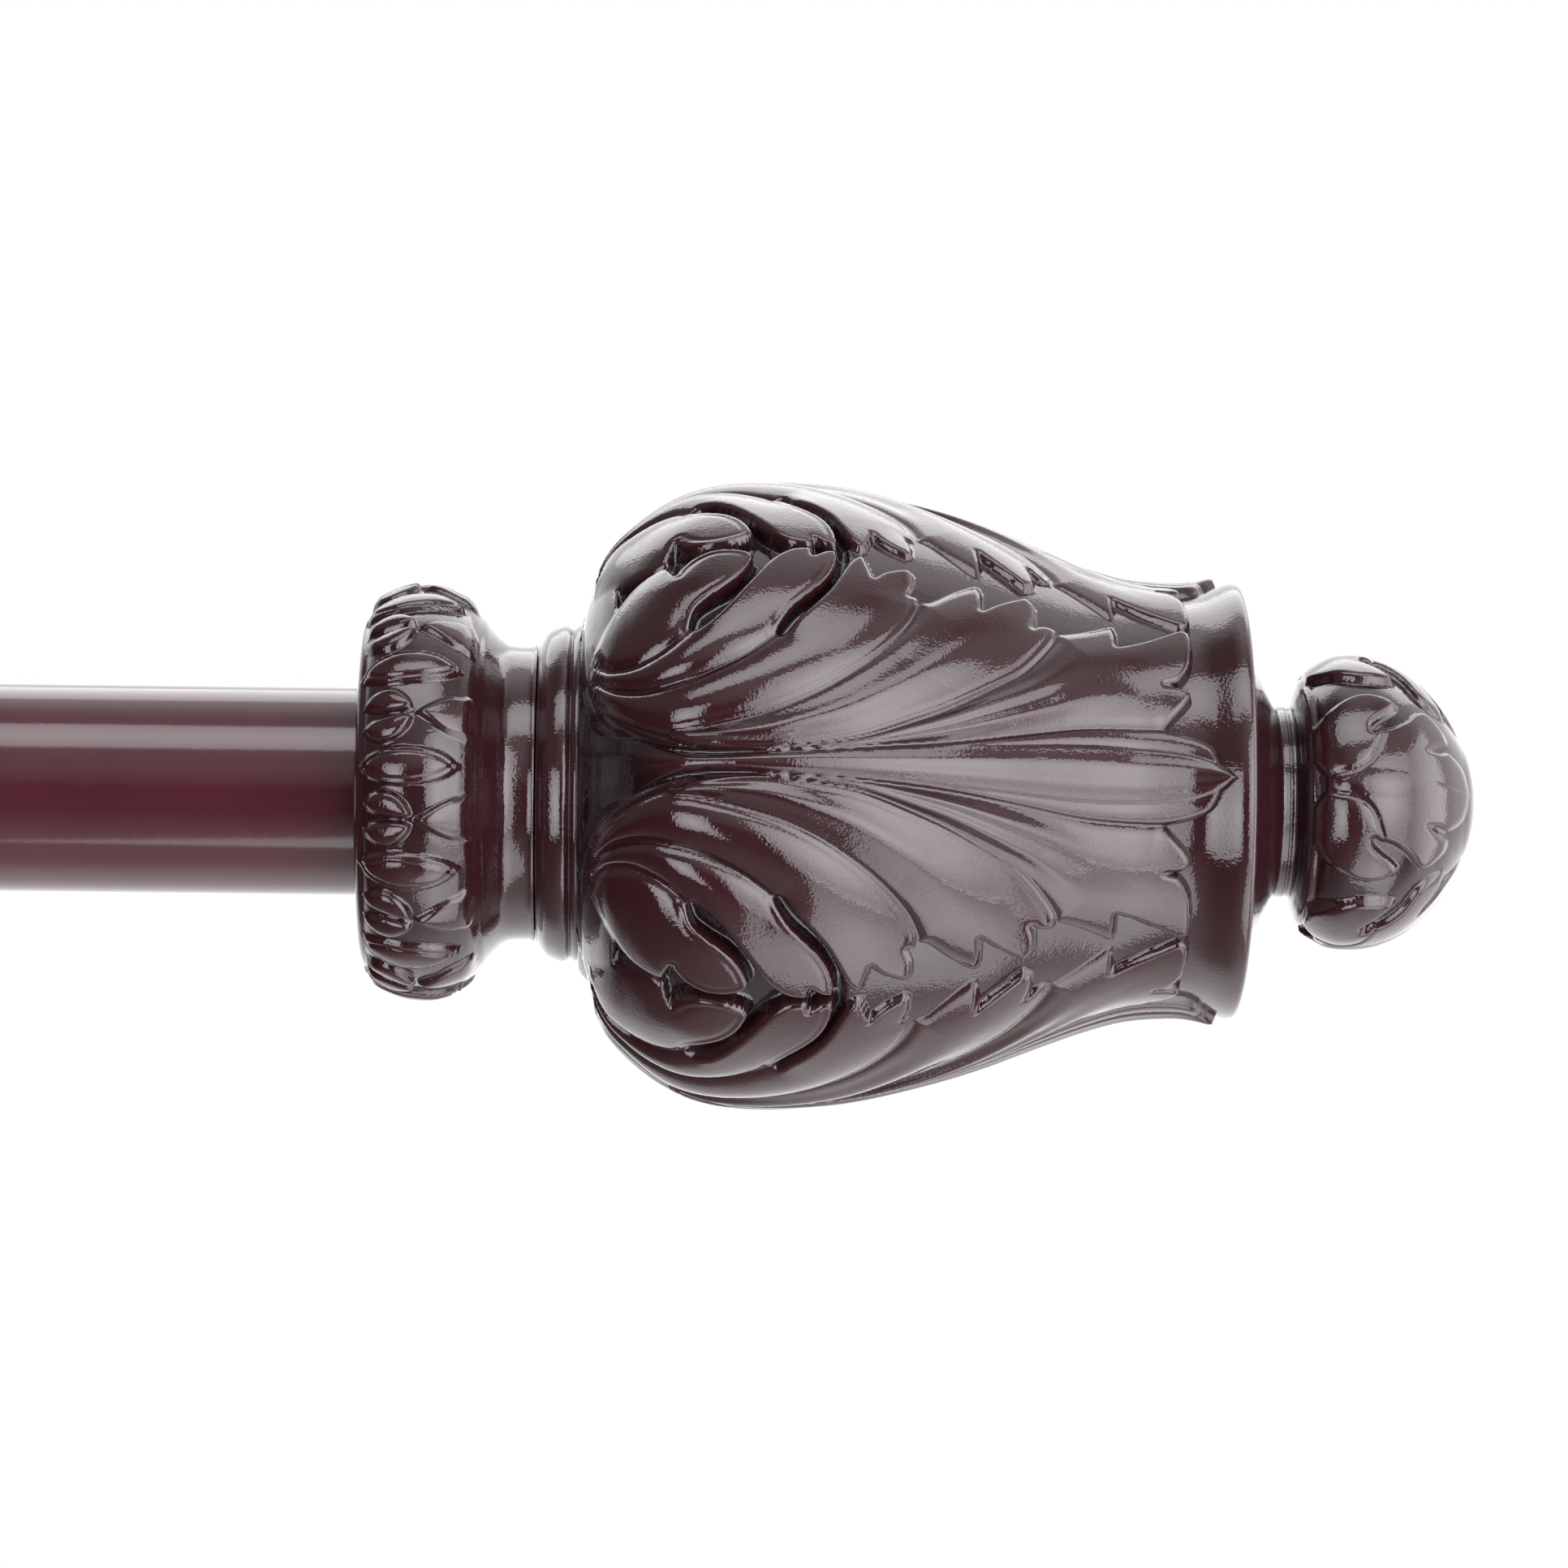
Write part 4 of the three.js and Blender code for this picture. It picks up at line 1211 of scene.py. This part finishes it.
class CURTAIN_OT_hidden_parts(bpy.types.Operator):
    """Give the pieces hidden inside the rod and finials their finishes"""

    bl_idname = "curtain.hidden_parts"
    bl_label = "Hidden parts"

    def execute(self, context):
        finishes = {"tail_bush": nylon(), "right_end_plug": nylon(), "left_end_plug": nylon()}
        for side in SIDES:
            finishes[f"{side}_sleeve"] = nylon()
            finishes[f"{side}_socket"] = resin()
            for part in ("cradle_screw", "tie_rod", "tie_nut", "tie_washer"):
                finishes[f"{side}_{part}"] = zinc()
        for node, material in finishes.items():
            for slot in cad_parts[node].material_slots:
                slot.material = material
        return {"FINISHED"}


class CURTAIN_OT_stage(bpy.types.Operator):
    """Make the floor, the studio light and the camera"""

    bl_idname = "curtain.stage"
    bl_label = "Stage"

    def execute(self, context):
        make_floor()
        make_world()
        make_lights()
        make_camera()
        return {"FINISHED"}


# ---------------------------------------------------------------- stage


FLOOR_REACH = 1.6  # metres from the floor's middle to its edge


def make_floor():
    """A pale seamless floor well below the rod."""
    settings = bpy.context.scene.curtain_stage
    material, tree, shader = new_material("pale_floor_paper", Roughness=0.9)
    place = add_node(tree, "ShaderNodeTexCoord")
    mottle = add_node(tree, "ShaderNodeTexNoise", Vector=(place, "Object"), Scale=per_metre(60), Detail=2.0)
    two_colours(tree, shader, (mottle, "Fac"), darker(settings.floor, 0.98), list(settings.floor))
    bm = bmesh.new()
    bmesh.ops.create_grid(bm, x_segments=8, y_segments=8, size=FLOOR_REACH)
    mesh = bpy.data.meshes.new("floor")
    bm.to_mesh(mesh)
    bm.free()
    middle = (CAD_BOX[0][0] + CAD_BOX[1][0]) / 2
    mesh.transform(Matrix.Translation((middle, ROD_Y * MM, -settings.floor_drop)))
    mesh.materials.append(material)
    floor = bpy.data.objects.new("floor", mesh)
    bpy.context.scene.collection.objects.link(floor)
    # Reflections see the surroundings that the world paints, and light from below passes.
    floor.visible_glossy = False
    floor.visible_shadow = False


# How bright the room in front of the rod is, from straight down at 0 to straight up at 1.
WALL_TONES = ((0.0, 1.0), (0.1, 0.85), (0.2, 0.4), (0.3, 0.1), (0.52, 0.07), (0.6, 0.5), (0.7, 0.8),
              (0.85, 1.0), (0.95, 0.4), (1.0, 0.5))
BACKDROP_LIGHT = 1.6


def make_world():
    """White surroundings behind the rod, and a dim room with lighter upper walls in front of it."""
    world = bpy.data.worlds.new("studio")
    bpy.context.scene.world = world
    world.use_nodes = True
    tree = world.node_tree
    tree.nodes.clear()
    place = add_node(tree, "ShaderNodeTexCoord")
    axes = add_node(tree, "ShaderNodeSeparateXYZ", Vector=(place, "Generated"))
    height = add_node(tree, "ShaderNodeMapRange", Value=(axes, "Z"), From_Min=-1.0, From_Max=1.0)
    front = add_node(tree, "ShaderNodeValToRGB", Fac=(height, "Result"))
    ramp = front.color_ramp
    ramp.elements[0].position = 0.0
    ramp.elements[1].position = 1.0
    for position, value in WALL_TONES:
        element = ramp.elements.new(position)
        element.color = (value, value, value, 1)
    ramp.elements.remove(ramp.elements[-1])
    ramp.elements.remove(ramp.elements[0])
    # The left of the room is darker below.
    left = add_node(tree, "ShaderNodeMapRange", Value=(axes, "X"), From_Min=-0.6, From_Max=0.0, To_Min=0.3)
    dim = add_node(
        tree, "ShaderNodeMix", {"data_type": "RGBA", "blend_type": "MULTIPLY"},
        i0=1.0, i6=(front, "Color"), i7=(left, "Result"),
    )
    # The white backdrop ends sooner on the left.
    nearness = add_node(
        tree, "ShaderNodeMath", {"operation": "MULTIPLY_ADD"}, i0=(left, "Result"), i1=0.6, i2=(axes, "Y")
    )
    behind = add_node(
        tree, "ShaderNodeMapRange", {"interpolation_type": "SMOOTHSTEP"},
        Value=(nearness, "Value"), From_Min=0.45, From_Max=0.85,
    )
    mix = add_node(
        tree, "ShaderNodeMix", {"data_type": "RGBA"},
        i0=(behind, "Result"), i6=(dim, 2), i7=(BACKDROP_LIGHT, BACKDROP_LIGHT, BACKDROP_LIGHT, 1),
    )
    around = add_node(tree, "ShaderNodeBackground", Color=(mix, 2), Strength=1.0)
    white = add_node(tree, "ShaderNodeBackground", Color=(1, 1, 1, 1), Strength=1.0)
    path = add_node(tree, "ShaderNodeLightPath")
    seen = add_node(
        tree, "ShaderNodeMixShader",
        Fac=(path, "Is Camera Ray"), i1=(around, "Background"), i2=(white, "Background"),
    )
    add_node(tree, "ShaderNodeOutputWorld", Surface=(seen, "Shader"))


# Each softbox: azimuth (0 on the camera's side, positive to the right) and elevation in degrees, width
# and height in metres, radiance, and how much of it fades from the lamp to the edges of its cloth.
SOFTBOXES = {
    "top_front_softbox": (-6, 60, 4.6, 1.8, 4.4, 0.2),
    "right_softbox": (34, 4, 3.9, 4.2, 5.8, 0.35),
    "low_right_softbox": (38, -48.5, 3.4, 3.1, 3.6, 0.3),
    "left_softbox": (-36, -6, 1.9, 2.7, 5.5, 0.25),
    "far_right_softbox": (85, 0, 2.8, 4.4, 3.6, 0.25),
    "back_softbox": (180, 48, 5.2, 2.0, 2.2, 0),
}
SOFTBOX_DISTANCE = 3.5
FINIAL_MIDDLE = 51  # mm from the collar's face


def add_softbox(name, aim, azimuth, elevation, width, height, radiance, fade):
    """A soft rectangular light that faces a point."""
    a, e = math.radians(azimuth), math.radians(elevation)
    away = Vector((math.sin(a) * math.cos(e), -math.cos(a) * math.cos(e), math.sin(e)))
    light = bpy.data.lights.new(name, "AREA")
    light.shape = "RECTANGLE"
    light.size = width
    light.size_y = height
    light.energy = radiance * math.pi * width * height
    light.color = (1.0, 0.99, 1.03)
    if fade:
        light.use_nodes = True
        tree = light.node_tree
        tree.nodes.clear()
        spot = add_node(tree, "ShaderNodeNewGeometry")
        out = add_node(
            tree, "ShaderNodeVectorMath", {"operation": "DISTANCE"}, i0=(spot, "Parametric"), i1=(0.5, 0.5, 0)
        )
        glow = add_node(
            tree, "ShaderNodeMapRange", {"interpolation_type": "SMOOTHSTEP"},
            Value=(out, "Value"), From_Min=0.0, From_Max=0.6, To_Min=1.0 + fade, To_Max=1.0 - fade,
        )
        emission = add_node(tree, "ShaderNodeEmission", Strength=(glow, "Result"))
        add_node(tree, "ShaderNodeOutputLight", Surface=(emission, "Emission"))
    box = bpy.data.objects.new(name, light)
    bpy.context.scene.collection.objects.link(box)
    box.location = aim + away * SOFTBOX_DISTANCE
    box.rotation_euler = away.to_track_quat("Z", "Y").to_euler()
    box.visible_camera = False


def make_lights():
    """Softboxes above, to the right and to the left of the camera, and one over the back."""
    aim = Vector(((COLLAR_FACE["right"] + FINIAL_MIDDLE) * MM, ROD_Y * MM, 0))
    for name, values in SOFTBOXES.items():
        add_softbox(name, aim, *values)


def make_camera():
    """Level camera in front of the right-hand finial, turned a little so that the rod's end falls away."""
    settings = bpy.context.scene.curtain_stage
    data = bpy.data.cameras.new("camera")
    data.lens = settings.camera_lens
    data.sensor_width = 36
    data.clip_start = 0.05
    camera = bpy.data.objects.new("camera", data)
    bpy.context.scene.collection.objects.link(camera)
    raised, shifted_right = 1.5, 0.5
    aim_x = COLLAR_FACE["right"] + FINIAL_MIDDLE + shifted_right
    aim = Vector((aim_x * MM, ROD_Y * MM, raised * MM))
    yaw = math.radians(1.2)
    roll = math.radians(0.66)
    ahead = Vector((math.sin(yaw), math.cos(yaw), 0))
    camera.location = aim - ahead * settings.camera_distance
    upright = ahead.to_track_quat("-Z", "Y").to_matrix().to_4x4()
    camera.rotation_mode = "QUATERNION"
    camera.rotation_quaternion = (upright @ Matrix.Rotation(roll, 4, "Z")).to_quaternion()
    bpy.context.scene.camera = camera
    bpy.context.scene.view_settings.view_transform = "Standard"


# ---------------------------------------------------------------- panel and registration


class CURTAIN_PT_panel(bpy.types.Panel):
    """Settings and operators of the curtain rod"""

    bl_idname = "CURTAIN_PT_panel"
    bl_label = "Curtain rod"
    bl_space_type = "VIEW_3D"
    bl_region_type = "UI"
    bl_category = "Curtain rod"

    def draw(self, context):
        for group, settings in SETTINGS.items():
            box = self.layout.box()
            for name in settings.__annotations__:
                box.prop(getattr(context.scene, group), name)
        for operator in OPERATORS:
            self.layout.operator(operator.bl_idname)


SETTINGS = {
    "curtain_rod": RodSettings,
    "curtain_finial": FinialSettings,
    "curtain_bracket": BracketSettings,
    "curtain_stage": StageSettings,
}
OPERATORS = (
    CURTAIN_OT_stage,
    CURTAIN_OT_tubes,
    CURTAIN_OT_finials,
    CURTAIN_OT_brackets,
    CURTAIN_OT_hidden_parts,
)


def register():
    for cls in (*SETTINGS.values(), *OPERATORS, CURTAIN_PT_panel):
        bpy.utils.register_class(cls)
    for name, settings in SETTINGS.items():
        setattr(bpy.types.Scene, name, PointerProperty(type=settings))


def unregister():
    for name in SETTINGS:
        delattr(bpy.types.Scene, name)
    for cls in reversed((*SETTINGS.values(), *OPERATORS, CURTAIN_PT_panel)):
        bpy.utils.unregister_class(cls)


def main():
    register()
    bpy.ops.curtain.stage()
    bpy.ops.curtain.tubes()
    bpy.ops.curtain.finials()
    bpy.ops.curtain.brackets()
    bpy.ops.curtain.hidden_parts()


if __name__ == "__main__":
    main()
